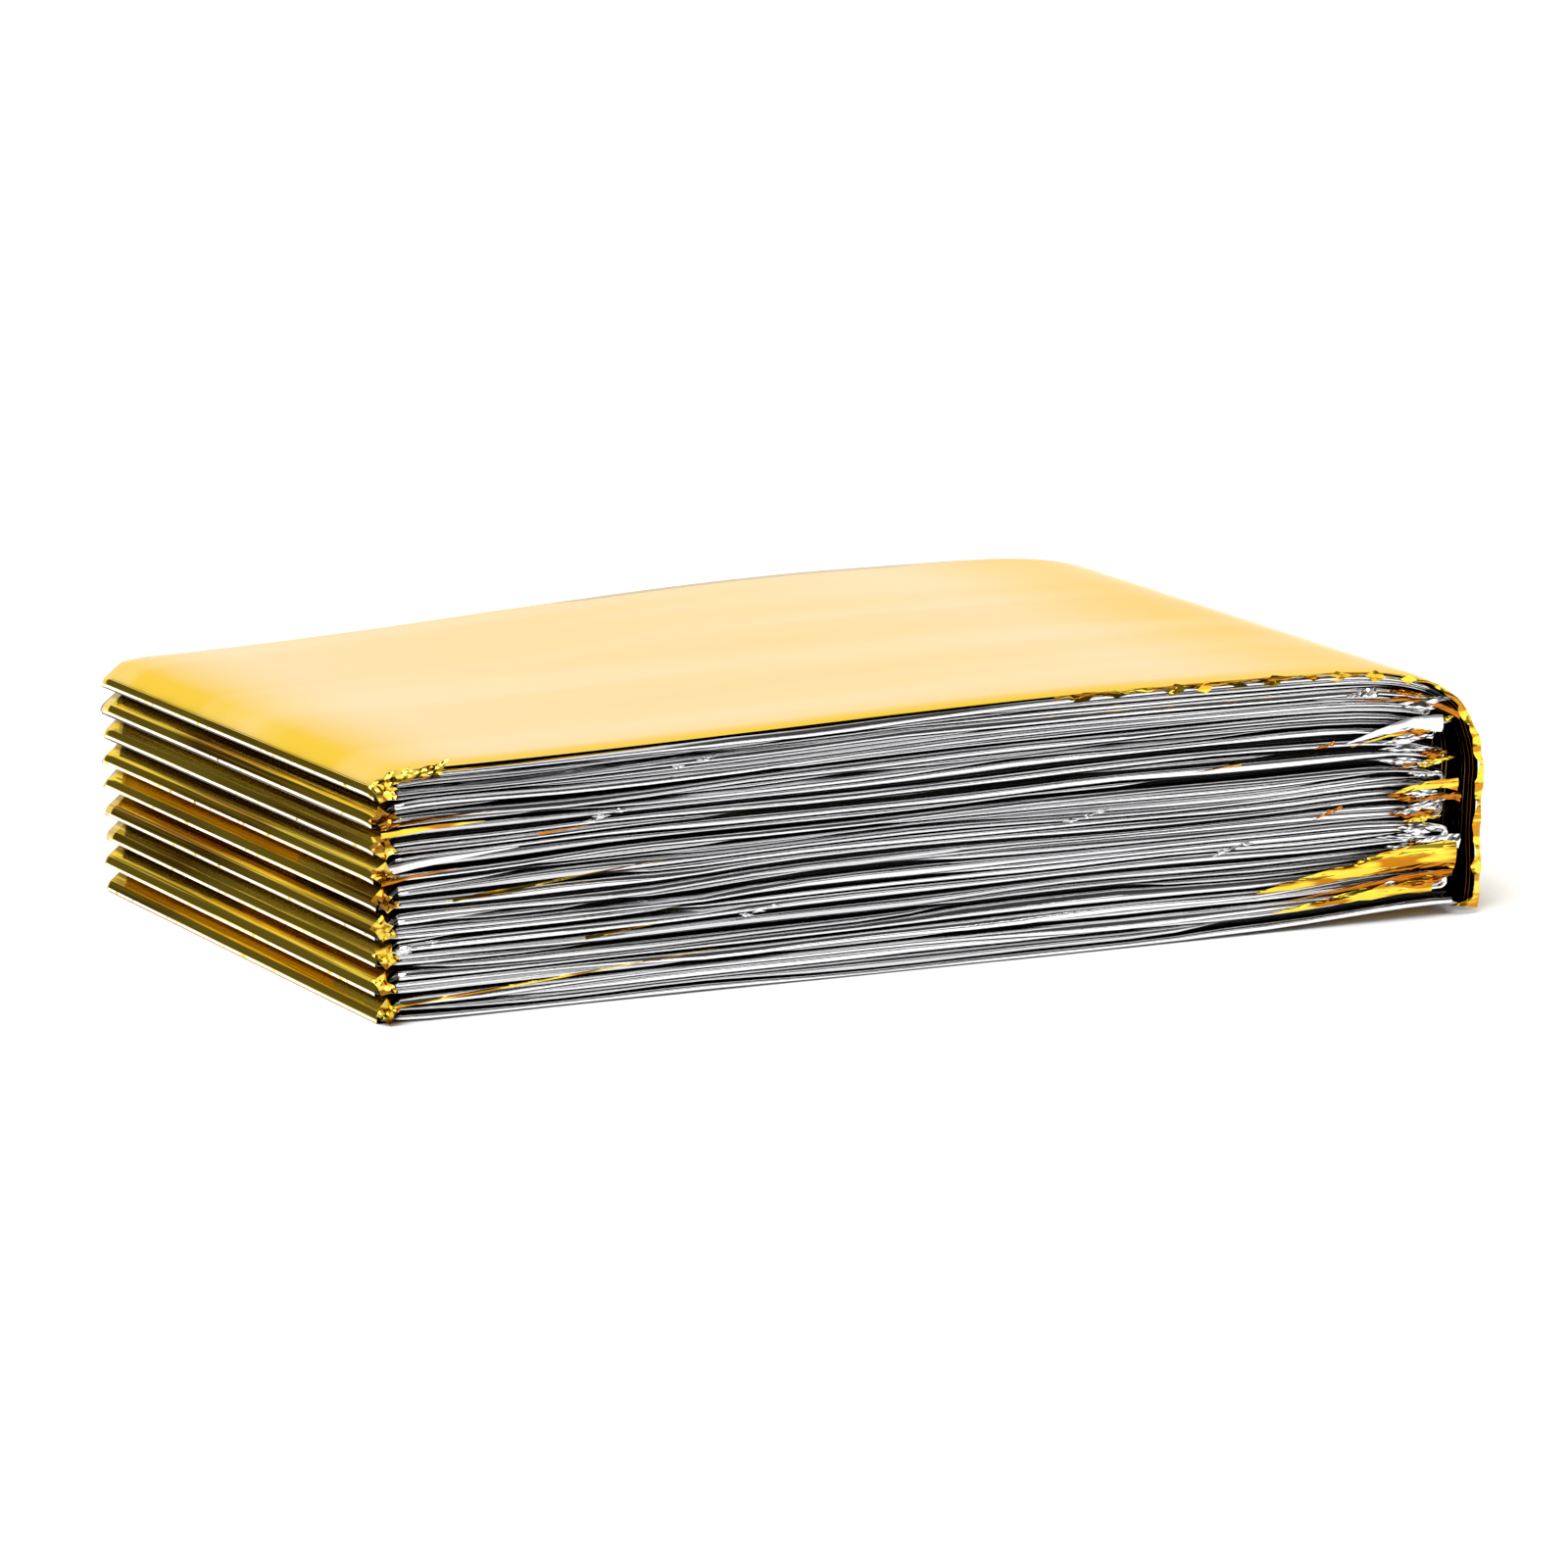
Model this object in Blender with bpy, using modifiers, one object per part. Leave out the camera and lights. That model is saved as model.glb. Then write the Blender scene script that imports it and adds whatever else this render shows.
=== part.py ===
"""An emergency foil blanket, folded flat as it comes out of its bag.

One sheet of metallised film, gold on one face and silver on the other. It is first pleated lengthwise into a
narrow strip, and the strip is then folded back and forth. The solid is that strip: one back-and-forth section
of 18 layers, a little apart, whose top layer runs on and hangs down over the right-hand end.

Metres, +Z up. The origin is the middle of the packet's underside, +X points from the folded gold end to the
wrapped end, and -Y is the long side where the silver pleats show.
"""

from collections import namedtuple
from math import cos, pi, sin

import bmesh
import bpy

MM = 0.001
NODE = "folded_foil"

# Driving dimensions, in millimetres. Lengths run from the gold end, so x is 0 there until the last step.
LENGTH = 125.0
DEPTH = 76.0
LEFT_HEIGHT = 25.0
STRIP_THICKNESS = 1.0
LAYERS = 18

# The crown of the top layer: it swells towards the wrapped end, and most at the back.
CROWN_FRONT = 2.0
CROWN_BACK = 4.0
CROWN_PEAK_X = 88.0

# The rounded shoulder over which the top layer turns down is a quarter of a superellipse. Below it the layer
# hangs down the end of the packet, leaning in a little towards its edge, which stops short of the ground.
SHOULDER_START_X = 96.0
SHOULDER_DROP = 18.0
SHOULDER_POWER = 4.0
WRAP_LEAN = 0.5
WRAP_END_HEIGHT = 1.1

# The other layers' right-hand bends stop short of the wrap, and there the underside rises a little.
HOOK_X = 121.0
UNDERSIDE_FLAT_TO_X = 98.0
UNDERSIDE_RISE = 1.0

# Away from the gold end the layers are pressed towards the top, as an exponent on their height.
FAN_POWER = 0.95
FAN_START_X = 4.0
FAN_FULL_X = 50.0

# How far the corners of each bend are drawn in at the front and back, and over what length.
CORNER_DRAW_IN = 1.1
CORNER_REACH = 3.0

# Steps of the mesh: along a layer and across the packet as shares, and around a bend and the shoulder as counts.
PANEL_SHARES = (0.07, 0.24, 0.44, 0.62, 0.77, 0.88, 0.96)
ACROSS_SHARES = (0.0, 0.03, 0.2, 0.5, 0.8, 0.97, 1.0)
BEND_STEPS = 4
SHOULDER_STEPS = 9
SHARP_ANGLE = pi / 5

# One row for each pair of layers that a gold bend joins, from the bottom up, in millimetres:
# how far its gold bend and its silver hook stop short, how far its front and back edges lie inside the packet,
# and how far it is lifted from even spacing.
Fold = namedtuple("Fold", "nose_in hook_in front_in back_in lift")
FOLDS = (
    Fold(0.6, 0.8, 0.35, 0.20, 0.00),
    Fold(0.1, 0.0, 0.10, 0.45, 0.05),
    Fold(0.7, 0.6, 0.50, 0.10, -0.04),
    Fold(0.3, 0.2, 0.00, 0.35, 0.04),
    Fold(0.9, 0.9, 0.40, 0.00, 0.06),
    Fold(0.2, 0.3, 0.15, 0.50, -0.05),
    Fold(0.5, 0.8, 0.55, 0.25, 0.02),
    Fold(0.0, 1.4, 0.20, 0.40, 0.05),
    Fold(0.4, 2.4, 0.00, 0.05, 0.00),
)

# The film's two faces: linear colour and roughness.
Finish = namedtuple("Finish", "name colour roughness")
GOLD = Finish("gold_film", (0.86, 0.56, 0.10, 1.0), 0.22)
SILVER = Finish("silver_film", (0.72, 0.74, 0.76, 1.0), 0.25)


def clear_scene():
    """Remove whatever the file holds."""
    for thing in list(bpy.data.objects):
        bpy.data.objects.remove(thing, do_unlink=True)


def smooth_ramp(value, start, end):
    """0 before start, 1 after end, and an even S between them."""
    share = min(1.0, max(0.0, (value - start) / (end - start)))
    return share * share * (3.0 - 2.0 * share)


def crown(x, across):
    """How far the top layer swells above its height at the gold end."""
    peak = CROWN_FRONT + (CROWN_BACK - CROWN_FRONT) * across
    return peak * smooth_ramp(x, 0.0, CROWN_PEAK_X)


def shoulder_drop(x):
    """How far the shoulder has turned down at x."""
    share = min(1.0, max(0.0, (x - SHOULDER_START_X) / (LENGTH - SHOULDER_START_X)))
    return SHOULDER_DROP * (1.0 - (1.0 - share**SHOULDER_POWER) ** (1.0 / SHOULDER_POWER))


def underside(x):
    """The height of the lowest layer's lower face: flat, then rising a little under the hooks."""
    return UNDERSIDE_RISE * smooth_ramp(x, UNDERSIDE_FLAT_TO_X, HOOK_X)


def layer_height(layer, x, across):
    """The height of a layer's middle at x."""
    half = STRIP_THICKNESS / 2
    low = underside(x) + half
    high = LEFT_HEIGHT + crown(x, across) - shoulder_drop(x) - half
    fan = 1.0 - (1.0 - FAN_POWER) * smooth_ramp(x, FAN_START_X, FAN_FULL_X)
    share = (layer / (LAYERS - 1)) ** fan
    lift = FOLDS[layer // 2].lift * min(1.0, layer / 2, (LAYERS - 1 - layer) / 2)
    return low + (high - low) * share + lift


def bend(tip, low, high, side):
    """Points of a half turn from the lower height to the higher one, with its tip on one side: -1 left, +1 right."""
    radius = (high - low) / 2
    middle = (high + low) / 2
    points = []
    for step in range(BEND_STEPS + 1):
        angle = -pi / 2 + pi * step / BEND_STEPS
        points.append((tip - side * radius * (1.0 - cos(angle)), middle + radius * sin(angle)))
    return points


def bend_above(layer, across):
    """The half turn from a layer up to the next: a gold bend from an even layer, and a silver hook from an odd one."""
    if layer % 2:
        side = 1
        tip = HOOK_X - FOLDS[layer // 2 + 1].hook_in
    else:
        side = -1
        tip = FOLDS[layer // 2].nose_in + STRIP_THICKNESS / 2
    return bend(tip, layer_height(layer, tip, across), layer_height(layer + 1, tip, across), side)


def panel(layer, start_x, end_x, across):
    """Points along one layer between its two ends, which it leaves out."""
    low = min(start_x, end_x)
    span = abs(end_x - start_x)
    points = []
    for share in PANEL_SHARES:
        x = low + share * span
        points.append((x, layer_height(layer, x, across)))
    return points if end_x > start_x else points[::-1]


def wrap(across):
    """The top layer's end: over the shoulder and down the right-hand end."""
    outer_x = LENGTH - STRIP_THICKNESS / 2
    reach = outer_x - SHOULDER_START_X
    foot = layer_height(LAYERS - 1, SHOULDER_START_X, across) - SHOULDER_DROP
    exponent = 2.0 / SHOULDER_POWER
    points = []
    for step in range(1, SHOULDER_STEPS + 1):
        angle = pi / 2 * step / SHOULDER_STEPS
        x = SHOULDER_START_X + reach * sin(angle) ** exponent
        points.append((x, foot + SHOULDER_DROP * max(0.0, cos(angle)) ** exponent))
    points.append((outer_x - WRAP_LEAN / 3, (foot + WRAP_END_HEIGHT) / 2))
    points.append((outer_x - WRAP_LEAN, WRAP_END_HEIGHT))
    return points


def section(across):
    """The strip's middle line at one distance from the front, from the lowest layer's end to the wrap's."""
    points = [(HOOK_X, layer_height(0, HOOK_X, across))]
    for layer in range(LAYERS - 1):
        turn = bend_above(layer, across)
        points += panel(layer, points[-1][0], turn[0][0], across)
        points += turn
    points += panel(LAYERS - 1, points[-1][0], SHOULDER_START_X, across)
    points.append((SHOULDER_START_X, layer_height(LAYERS - 1, SHOULDER_START_X, across)))
    return points + wrap(across)


def depth_at(x, fold, across):
    """Where a point lies from front to back: each fold's edges are uneven, and its corners drawn in."""
    from_end = min(x - fold.nose_in, LENGTH - x)
    drawn = CORNER_DRAW_IN * (1.0 - smooth_ramp(from_end, 0.0, CORNER_REACH))
    front = -DEPTH / 2 + fold.front_in + drawn
    back = DEPTH / 2 - fold.back_in - drawn
    return front + (back - front) * across


def film_material(finish):
    """A Principled metal with the finish's colour and roughness."""
    material = bpy.data.materials.new(finish.name)
    material.use_nodes = True
    surface = material.node_tree.nodes["Principled BSDF"]
    surface.inputs["Base Color"].default_value = finish.colour
    surface.inputs["Metallic"].default_value = 1.0
    surface.inputs["Roughness"].default_value = finish.roughness
    return material


def strip_surface():
    """The strip's middle surface: a flat grid, with each row of points moved onto the section there."""
    sections = [section(across) for across in ACROSS_SHARES]
    last_index = len(sections[0]) - 1
    last_row = len(ACROSS_SHARES) - 1
    mesh = bpy.data.meshes.new(NODE)
    grid = bmesh.new()
    bmesh.ops.create_grid(grid, x_segments=last_index, y_segments=last_row, size=0.5)
    for vertex in grid.verts:
        index = round((vertex.co.x + 0.5) * last_index)
        row = round((vertex.co.y + 0.5) * last_row)
        x, z = sections[row][index]
        fold = FOLDS[min(len(FOLDS) - 1, index * len(FOLDS) // last_index)]
        y = depth_at(x, fold, ACROSS_SHARES[row])
        vertex.co = ((x - LENGTH / 2) * MM, y * MM, z * MM)
    grid.to_mesh(mesh)
    grid.free()
    return mesh


def folded_strip(collection):
    """The whole blanket: the strip's surface given its thickness, gold outside and silver inside."""
    mesh = strip_surface()
    mesh.materials.append(film_material(GOLD))
    mesh.materials.append(film_material(SILVER))
    strip = bpy.data.objects.new(NODE, mesh)
    collection.objects.link(strip)
    thickness = strip.modifiers.new("strip_thickness", "SOLIDIFY")
    thickness.thickness = STRIP_THICKNESS * MM
    thickness.offset = 0.0
    thickness.use_even_offset = True
    thickness.material_offset = 1
    mesh.shade_smooth()
    mesh.set_sharp_from_angle(angle=SHARP_ANGLE)


def main():
    """Build the folded blanket."""
    clear_scene()
    collection = bpy.data.collections.new("emergency_foil_blanket")
    bpy.context.scene.collection.children.link(collection)
    folded_strip(collection)


main()
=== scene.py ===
"""Looks of a folded emergency foil blanket: one gold and silver film sheet, pleated and folded into a packet.

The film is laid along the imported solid's own folds. It is pleated into a strip of 21 films, and the strip
goes back and forth in 18 panels. Its bends are gold on the left and silver hooks on the right, where the top
panel runs on and hangs down over the end. Crimped corners, crumpled tips and stray slips of film are added.
"""

import logging
from dataclasses import dataclass, field
from enum import Enum
from math import cos, pi, radians, sin
from typing import Any, NamedTuple

import bpy
import numpy as np
from mathutils import Euler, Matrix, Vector


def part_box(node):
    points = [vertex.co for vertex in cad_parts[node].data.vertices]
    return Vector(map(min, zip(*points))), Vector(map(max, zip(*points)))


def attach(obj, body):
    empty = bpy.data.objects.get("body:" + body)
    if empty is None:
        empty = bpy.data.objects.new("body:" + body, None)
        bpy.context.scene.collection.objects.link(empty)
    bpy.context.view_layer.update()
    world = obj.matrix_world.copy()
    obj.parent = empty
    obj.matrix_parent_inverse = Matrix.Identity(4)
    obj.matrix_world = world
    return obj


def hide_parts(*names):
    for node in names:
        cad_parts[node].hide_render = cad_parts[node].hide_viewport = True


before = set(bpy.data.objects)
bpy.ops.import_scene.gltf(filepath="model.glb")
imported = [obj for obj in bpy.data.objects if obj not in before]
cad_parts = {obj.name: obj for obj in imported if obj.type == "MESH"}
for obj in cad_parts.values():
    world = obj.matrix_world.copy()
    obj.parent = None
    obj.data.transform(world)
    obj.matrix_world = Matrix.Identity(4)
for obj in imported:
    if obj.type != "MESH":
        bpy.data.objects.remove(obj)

LOG = logging.getLogger("foil_blanket")
MM = 0.001
NODE = "folded_foil"
BODY = "root"
Range = tuple[float, float]
Triple = tuple[float, float, float]
Colour = tuple[float, float, float]


class Film(Enum):
    """The film's looks, as material slots of a piece: its two faces, and gold darkened to orange as painted
    shade and reflection deep inside the folds.
    """

    GOLD = 0
    SILVER = 1
    # Gold painted dark orange: painted shade and the reflection of gold in gold inside the folds.
    SHADED_GOLD = 2


class Kind(Enum):
    """What a point along the strip lies on."""

    PANEL = 0
    BEND = 1
    WRAP = 2


def smooth_ramp(value: np.ndarray, start: float, end: float) -> np.ndarray:
    """An even S from 0 at start to 1 at end."""
    share = np.clip((np.asarray(value, float) - start) / (end - start), 0.0, 1.0)
    return share * share * (3.0 - 2.0 * share)


def wander(x: np.ndarray, seed: int, wavelength: float, octaves: int = 3) -> np.ndarray:
    """Smooth random ups and downs of about -1 to 1 along x.

    Args:
        x: Places along the line, in millimetres.
        seed: Picks the phases.
        wavelength: The longest wave, in millimetres.
        octaves: How many waves are summed, each about half as long as the last.

    Returns:
        One value for each place.
    """
    shorter, weaker = 1.9, 1.6
    draw = np.random.default_rng(seed)
    total = np.zeros_like(np.asarray(x, float))
    for octave in range(octaves):
        length = wavelength * draw.uniform(0.8, 1.2) / shorter**octave
        total = total + np.sin(2 * pi * (x / length + draw.uniform())) / weaker**octave
    return total / weaker


def drawn(draw: np.random.Generator, *ranges: Range) -> list[float]:
    """A random number from each range, in order."""
    return [draw.uniform(low, high) for low, high in ranges]


def linked(name: str, data: bpy.types.ID) -> bpy.types.Object:
    """Put a mesh, light or camera into the scene as an object."""
    made = bpy.data.objects.new(name, data)
    bpy.context.scene.collection.objects.link(made)
    return made


def joined(parts: list[bpy.types.Object], name: str) -> bpy.types.Object:
    """Join mesh objects into one."""
    with bpy.context.temp_override(active_object=parts[0], selected_editable_objects=parts):
        bpy.ops.object.join()
    parts[0].name = name
    return parts[0]


def film_object(
    name: str,
    points: np.ndarray,
    slots: np.ndarray,
    materials: list[bpy.types.Material],
    smooth: bool,
    shades: dict[str, np.ndarray],
) -> bpy.types.Object:
    """Make a mesh from a grid of points.

    Args:
        name: The piece's name.
        points: Rows by columns by x, y, z, in millimetres.
        slots: The Film value of each quad.
        materials: The materials, in the order of Film.
        smooth: Whether the quads are shaded as one round surface.
        shades: Numbers at each point that a material reads, by name.

    Returns:
        The linked object, at the origin.
    """
    rows, columns, _ = points.shape
    ids = np.arange(rows * columns).reshape(rows, columns)
    quads = np.stack([ids[:-1, :-1], ids[1:, :-1], ids[1:, 1:], ids[:-1, 1:]], axis=-1)
    mesh = bpy.data.meshes.new(name)
    mesh.from_pydata((points.reshape(-1, 3) * MM).tolist(), [], quads.reshape(-1, 4).tolist())
    for material in materials:
        mesh.materials.append(material)
    mesh.polygons.foreach_set("material_index", slots.ravel().astype(np.int32))
    for key, values in shades.items():
        kind, part = ("FLOAT", "value") if values.ndim == 2 else ("FLOAT_VECTOR", "vector")
        mesh.attributes.new(key, kind, "POINT").data.foreach_set(part, values.ravel().astype(np.float32))
    if smooth:
        mesh.shade_smooth()
    mesh.update()
    return linked(name, mesh)


class Wave(NamedTuple):
    """A slow rise and fall of the panels: its length in x and in panels, its slant, start and strength."""

    length: float
    panels: float
    slant: float
    start: float
    strength: float


@dataclass
class PacketShape:
    """The strip's course through the packet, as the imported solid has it. Millimetres, x from the gold end."""

    length: float
    depth: float
    panels: int = 18
    left_height: float = 25.0
    crown_front: float = 2.0
    crown_back: float = 4.0
    crown_peak_x: float = 88.0
    shoulder_start_x: float = 96.0
    shoulder_drop: float = 18.0
    shoulder_power: float = 4.0
    wrap_lean: float = 0.5
    wrap_end_height: float = 0.6
    billow: float = 0.22
    billow_length: float = 13.0
    billow_slant: float = 0.8
    billow_in: float = 0.1
    billow_turns: Range = (0.5, 0.9)
    hook_x: float = 121.5
    underside_flat_to_x: float = 98.0
    underside_rise: float = 1.0
    fan_power: float = 0.95
    fan_x: Range = (4.0, 50.0)
    edge_roll: float = 0.25
    edge_roll_reach: float = 2.4
    left_roll: float = 0.6
    left_roll_reach: float = 7.5
    waver: float = 0.20
    waver_full_x: float = 30.0
    waves: tuple[Wave, ...] = (Wave(96.0, 11.0, 0.2, 0.0, 1.0), Wave(53.0, -7.5, 0.35, 0.3, 0.6))
    left_pinch: float = 0.08
    right_pinch: float = 0.16
    pinch_start: float = 0.6
    pinch_reach: float = 5.0
    nose_in: tuple[float, ...] = (0.4, 0.1, 0.35, 0.15, 0.45, 0.1, 0.3, 0.0, 0.2)
    hook_in: tuple[float, ...] = (0.0, 0.6, 0.2, 0.9, 0.3, 0.8, 1.4, 2.4)
    front_in: tuple[float, ...] = (0.35, 0.10, 0.50, 0.00, 0.40, 0.15, 0.55, 0.20, 0.00)
    back_in: tuple[float, ...] = (0.20, 0.45, 0.10, 0.35, 0.00, 0.50, 0.25, 0.40, 0.05)

    def crown(self, x: np.ndarray, across: np.ndarray) -> np.ndarray:
        """Height of the packet's top face before its shoulder; across is 0 at the front and 1 at the back."""
        peak = self.crown_front + (self.crown_back - self.crown_front) * across
        from_edge = np.minimum(across, 1.0 - across) * self.depth
        rolled = self.edge_roll * (1.0 - np.clip(from_edge / self.edge_roll_reach, 0.0, 1.0)) ** 2
        left = self.left_roll * (1.0 - np.clip(x / self.left_roll_reach, 0.0, 1.0)) ** 2
        return self.left_height + peak * smooth_ramp(x, 0.0, self.crown_peak_x) - rolled - left

    def top(self, x: np.ndarray, across: np.ndarray) -> np.ndarray:
        """Height of the packet's top face at x."""
        share = np.clip((x - self.shoulder_start_x) / (self.length - self.shoulder_start_x), 0.0, 1.0)
        power = self.shoulder_power
        drop = self.shoulder_drop * (1.0 - (1.0 - share**power) ** (1.0 / power))
        return self.crown(x, across) - drop

    def underside(self, x: np.ndarray) -> np.ndarray:
        """Height of the packet's lowest face at x."""
        return self.underside_rise * smooth_ramp(x, self.underside_flat_to_x, self.hook_x)

    def boundary(self, level: np.ndarray, x: np.ndarray, across: np.ndarray) -> np.ndarray:
        """Height between two panels: level 0 is the packet's underside and level 18 its top face."""
        low = self.underside(x)
        fan = 1.0 - (1.0 - self.fan_power) * smooth_ramp(x, *self.fan_x)
        share = np.clip(level / self.panels, 0.0, 1.0)
        swing = np.zeros_like(share)
        for wave in self.waves:
            phase = x / wave.length + level / wave.panels + wave.slant * across + wave.start
            swing = swing + wave.strength * np.sin(2 * pi * phase)
        wavered = self.waver * np.sin(pi * share) * swing * smooth_ramp(x, 0.0, self.waver_full_x)
        return low + (self.top(x, across) - low) * share**fan + wavered

    def pinched(self, z: np.ndarray, level: np.ndarray, x: np.ndarray, across: np.ndarray) -> np.ndarray:
        """Draw heights in towards the boundary between the two panels that the nearer bend joins."""
        left_level = 2.0 * np.floor(level / 2.0) + 1.0
        right_level = np.clip(2.0 * np.floor((level + 1.0) / 2.0), 2.0, self.panels - 2.0)
        nose = np.array(self.nose_in)[np.clip(level.astype(int) // 2, 0, len(self.nose_in) - 1)]
        left = self.left_pinch * (1.0 - smooth_ramp(x - nose, self.pinch_start, self.pinch_reach))
        joins = (level > 0.5) & (level < self.panels - 1.5)
        right = self.right_pinch * smooth_ramp(x, self.hook_x - 2.0 * self.pinch_reach, self.hook_x) * joins
        z = z + (self.boundary(left_level, x, across) - z) * left
        return z + (self.boundary(right_level, x, across) - z) * right

    def wrap_course(self, turn: np.ndarray, across: np.ndarray) -> tuple[np.ndarray, np.ndarray]:
        """The outer face of the wrap.

        Args:
            turn: How far along it, 0 to 1 over the shoulder and 1 to 2 down the end.
            across: 0 at the front to 1 at the back, one for each point.

        Returns:
            x and height of each point, in millimetres.
        """
        angle = np.clip(turn, 0.0, 1.0) * pi / 2
        exponent = 2.0 / self.shoulder_power
        reach = self.length - self.shoulder_start_x
        foot = self.crown(np.full_like(turn, self.shoulder_start_x), across) - self.shoulder_drop
        x = self.shoulder_start_x + reach * np.clip(np.sin(angle), 0.0, 1.0) ** exponent
        z = foot + self.shoulder_drop * np.clip(np.cos(angle), 0.0, 1.0) ** exponent
        down = np.clip(turn - 1.0, 0.0, 1.0)
        z = z + (self.wrap_end_height - foot) * down
        phase = z / self.billow_length + self.billow_slant * across
        billow = self.billow * np.sin(2 * pi * phase) - self.billow_in
        return x - self.wrap_lean * down + billow * smooth_ramp(turn, *self.billow_turns), z


class Shadow(NamedTuple):
    """A stretch of the front where the pleats lean back and look dark."""

    x: float
    reach: float
    panel: float
    panels: float
    lean: float


@dataclass
class Edge:
    """How the films lie at one long edge of the strip, for each place along it.

    stops holds each film's share of the strip's thickness, from the silver side to the gold side. For each
    pair of films, proud is how far its fold stands out, in millimetres, and tilt is how it leans.
    """

    stops: np.ndarray
    proud: np.ndarray
    tilt: np.ndarray


@dataclass
class Pleats:
    """How the sheet is pleated into the strip: films joined in pairs at the front and at the back edge.

    A leading pair's fold springs open into a round nose that shows, and it comes and goes along the strip.
    The other pairs are tucked in behind.
    """

    films: int = 21
    leader_weight: float = 9.0
    tucked_weight: float = 0.22
    gap_weight: float = 0.28
    tuck_depth: float = 1.3
    bulge: float = 0.36
    second_leader_off: tuple[int, int] = (3, 6)
    third_leader_off: int = 7
    third_leader_chance: float = 0.35
    anchor_swell: Range = (1.0, 0.35)
    leader_swell: Range = (0.5, 0.9)
    most_swell: float = 1.5
    swell_length: float = 120.0
    shown_swell: Range = (0.02, 0.35)
    shown_swell_back: Range = (0.02, 1.0)
    shown_proud: Range = (-0.22, 0.44)
    proud_waver: float = 0.12
    proud_length: float = 70.0
    lean: float = 0.42
    lean_spread: float = 0.75
    lean_waver: float = 0.24
    lean_length: float = 85.0
    seed: int = 7
    shadows: tuple[Shadow, ...] = (
        Shadow(12.0, 26.0, 17.2, 2.6, 1.3),
        Shadow(33.0, 8.0, 6.6, 2.6, 1.1),
        Shadow(88.0, 14.0, 13.2, 1.8, 0.5),
        Shadow(112.0, 10.0, 3.0, 2.6, 0.6),
    )

    @property
    def pairs(self) -> int:
        """How many pairs of films the front folds join."""
        return (self.films - 1) // 2

    def leaned(self, panel: int, x: np.ndarray) -> np.ndarray:
        """How far a panel's folds lean at each place, more where a shadow lies."""
        leaned = np.full_like(x, self.lean)
        for shadow in self.shadows:
            near = np.clip(1.0 - ((x - shadow.x) / shadow.reach) ** 2, 0.0, 1.0)
            level_with = max(0.0, 1.0 - ((panel - shadow.panel) / shadow.panels) ** 2)
            leaned = leaned + shadow.lean * near * level_with
        return leaned

    def edge(self, panel: int, x: np.ndarray, at_back: bool) -> Edge:
        """How the films lie at one edge of a panel.

        Args:
            panel: The panel, from the bottom up.
            x: Places along it, in millimetres.
            at_back: True for the back edge.

        Returns:
            The edge at each place.
        """
        seed = self.seed * 1000 + panel * 40 + 500 * at_back
        draw = np.random.default_rng(seed)
        anchor = int(draw.integers(2, self.pairs - 2))
        leaders = {anchor, (anchor + int(draw.integers(*self.second_leader_off))) % self.pairs}
        if draw.uniform() < self.third_leader_chance:
            leaders.add((anchor + self.third_leader_off) % self.pairs)
        leaned = self.leaned(panel, x)
        downwards = -1.0 if panel % 2 else 1.0
        shown_swell = self.shown_swell_back if at_back else self.shown_swell
        weights, proud, tilt = np.zeros((3, self.pairs, len(x)))
        for pair in range(self.pairs):
            size, out, lean = draw.uniform(size=3)
            swell = np.zeros_like(x)
            if pair in leaders:
                steady, waver = self.anchor_swell if pair == anchor else self.leader_swell
                swell = steady + waver * wander(x, seed + pair, self.swell_length)
                swell = np.clip(swell, 0.0, self.most_swell)
            weights[pair] = self.tucked_weight + self.leader_weight * (0.5 + 0.9 * size) * swell
            tucked = -self.tuck_depth * (0.55 + 0.45 * out)
            least, more = self.shown_proud
            shown = least + more * out + self.proud_waver * wander(x, seed + pair + 11, self.proud_length)
            proud[pair] = tucked + (shown - tucked) * smooth_ramp(swell, *shown_swell)
            wavered = self.lean_waver * wander(x, seed + pair + 23, self.lean_length)
            tilt[pair] = downwards * (leaned + (lean - 0.5) * self.lean_spread + wavered)
        edges = np.full((2 * self.pairs, len(x)), self.gap_weight)
        edges[int(at_back) :: 2] = weights
        stops = np.concatenate([np.zeros((1, len(x))), np.cumsum(edges, axis=0)]) / edges.sum(axis=0)
        return Edge(stops, proud, tilt)


class NosePoint(NamedTuple):
    """A point of a gold bend's outline: its share of the turn, and its reach out and up in radiuses."""

    turn: float
    out: float
    up: float


GOLD_NOSE = (
    NosePoint(0.10, 0.55, -0.97),
    NosePoint(0.18, 0.86, -1.00),
    NosePoint(0.24, 0.985, -0.98),
    NosePoint(0.29, 1.00, -0.90),
    NosePoint(0.33, 0.995, -0.78),
    NosePoint(0.38, 0.965, -0.62),
    NosePoint(0.44, 0.925, -0.45),
    NosePoint(0.49, 0.87, -0.27),
    NosePoint(0.52, 0.81, -0.17),
    NosePoint(0.60, 0.67, 0.06),
    NosePoint(0.70, 0.49, 0.34),
    NosePoint(0.82, 0.30, 0.64),
    NosePoint(0.92, 0.12, 0.88),
)


# Places across the outermost gold film, from the back to the front, closer together at its edges.
OUTER_SHARES = (0.985, 0.96, 0.90, 0.78, 0.62, 0.44, 0.26, 0.13, 0.07, 0.04, 0.02, 0.008)


class Column(NamedTuple):
    """One line of points along the whole strip: a place on one film, or on the fold that joins two."""

    film: int
    share: float
    front_pair: int = -1
    back_pair: int = -1
    angle: float = 0.0
    behind: float = 0.0


@dataclass
class Stations:
    """The points along the strip, as arrays.

    kind holds Kind values, and turn runs from 0 to 1 around a bend or 0 to 2 along the wrap. lower and upper
    are the panels that a bend joins, and side is -1 on a gold bend and 1 on a silver hook.
    """

    kind: np.ndarray
    x: np.ndarray
    turn: np.ndarray
    lower: np.ndarray
    upper: np.ndarray
    side: np.ndarray

    def on(self, kind: Kind) -> np.ndarray:
        """Which stations lie on one kind of place."""
        return self.kind == kind.value


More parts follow.
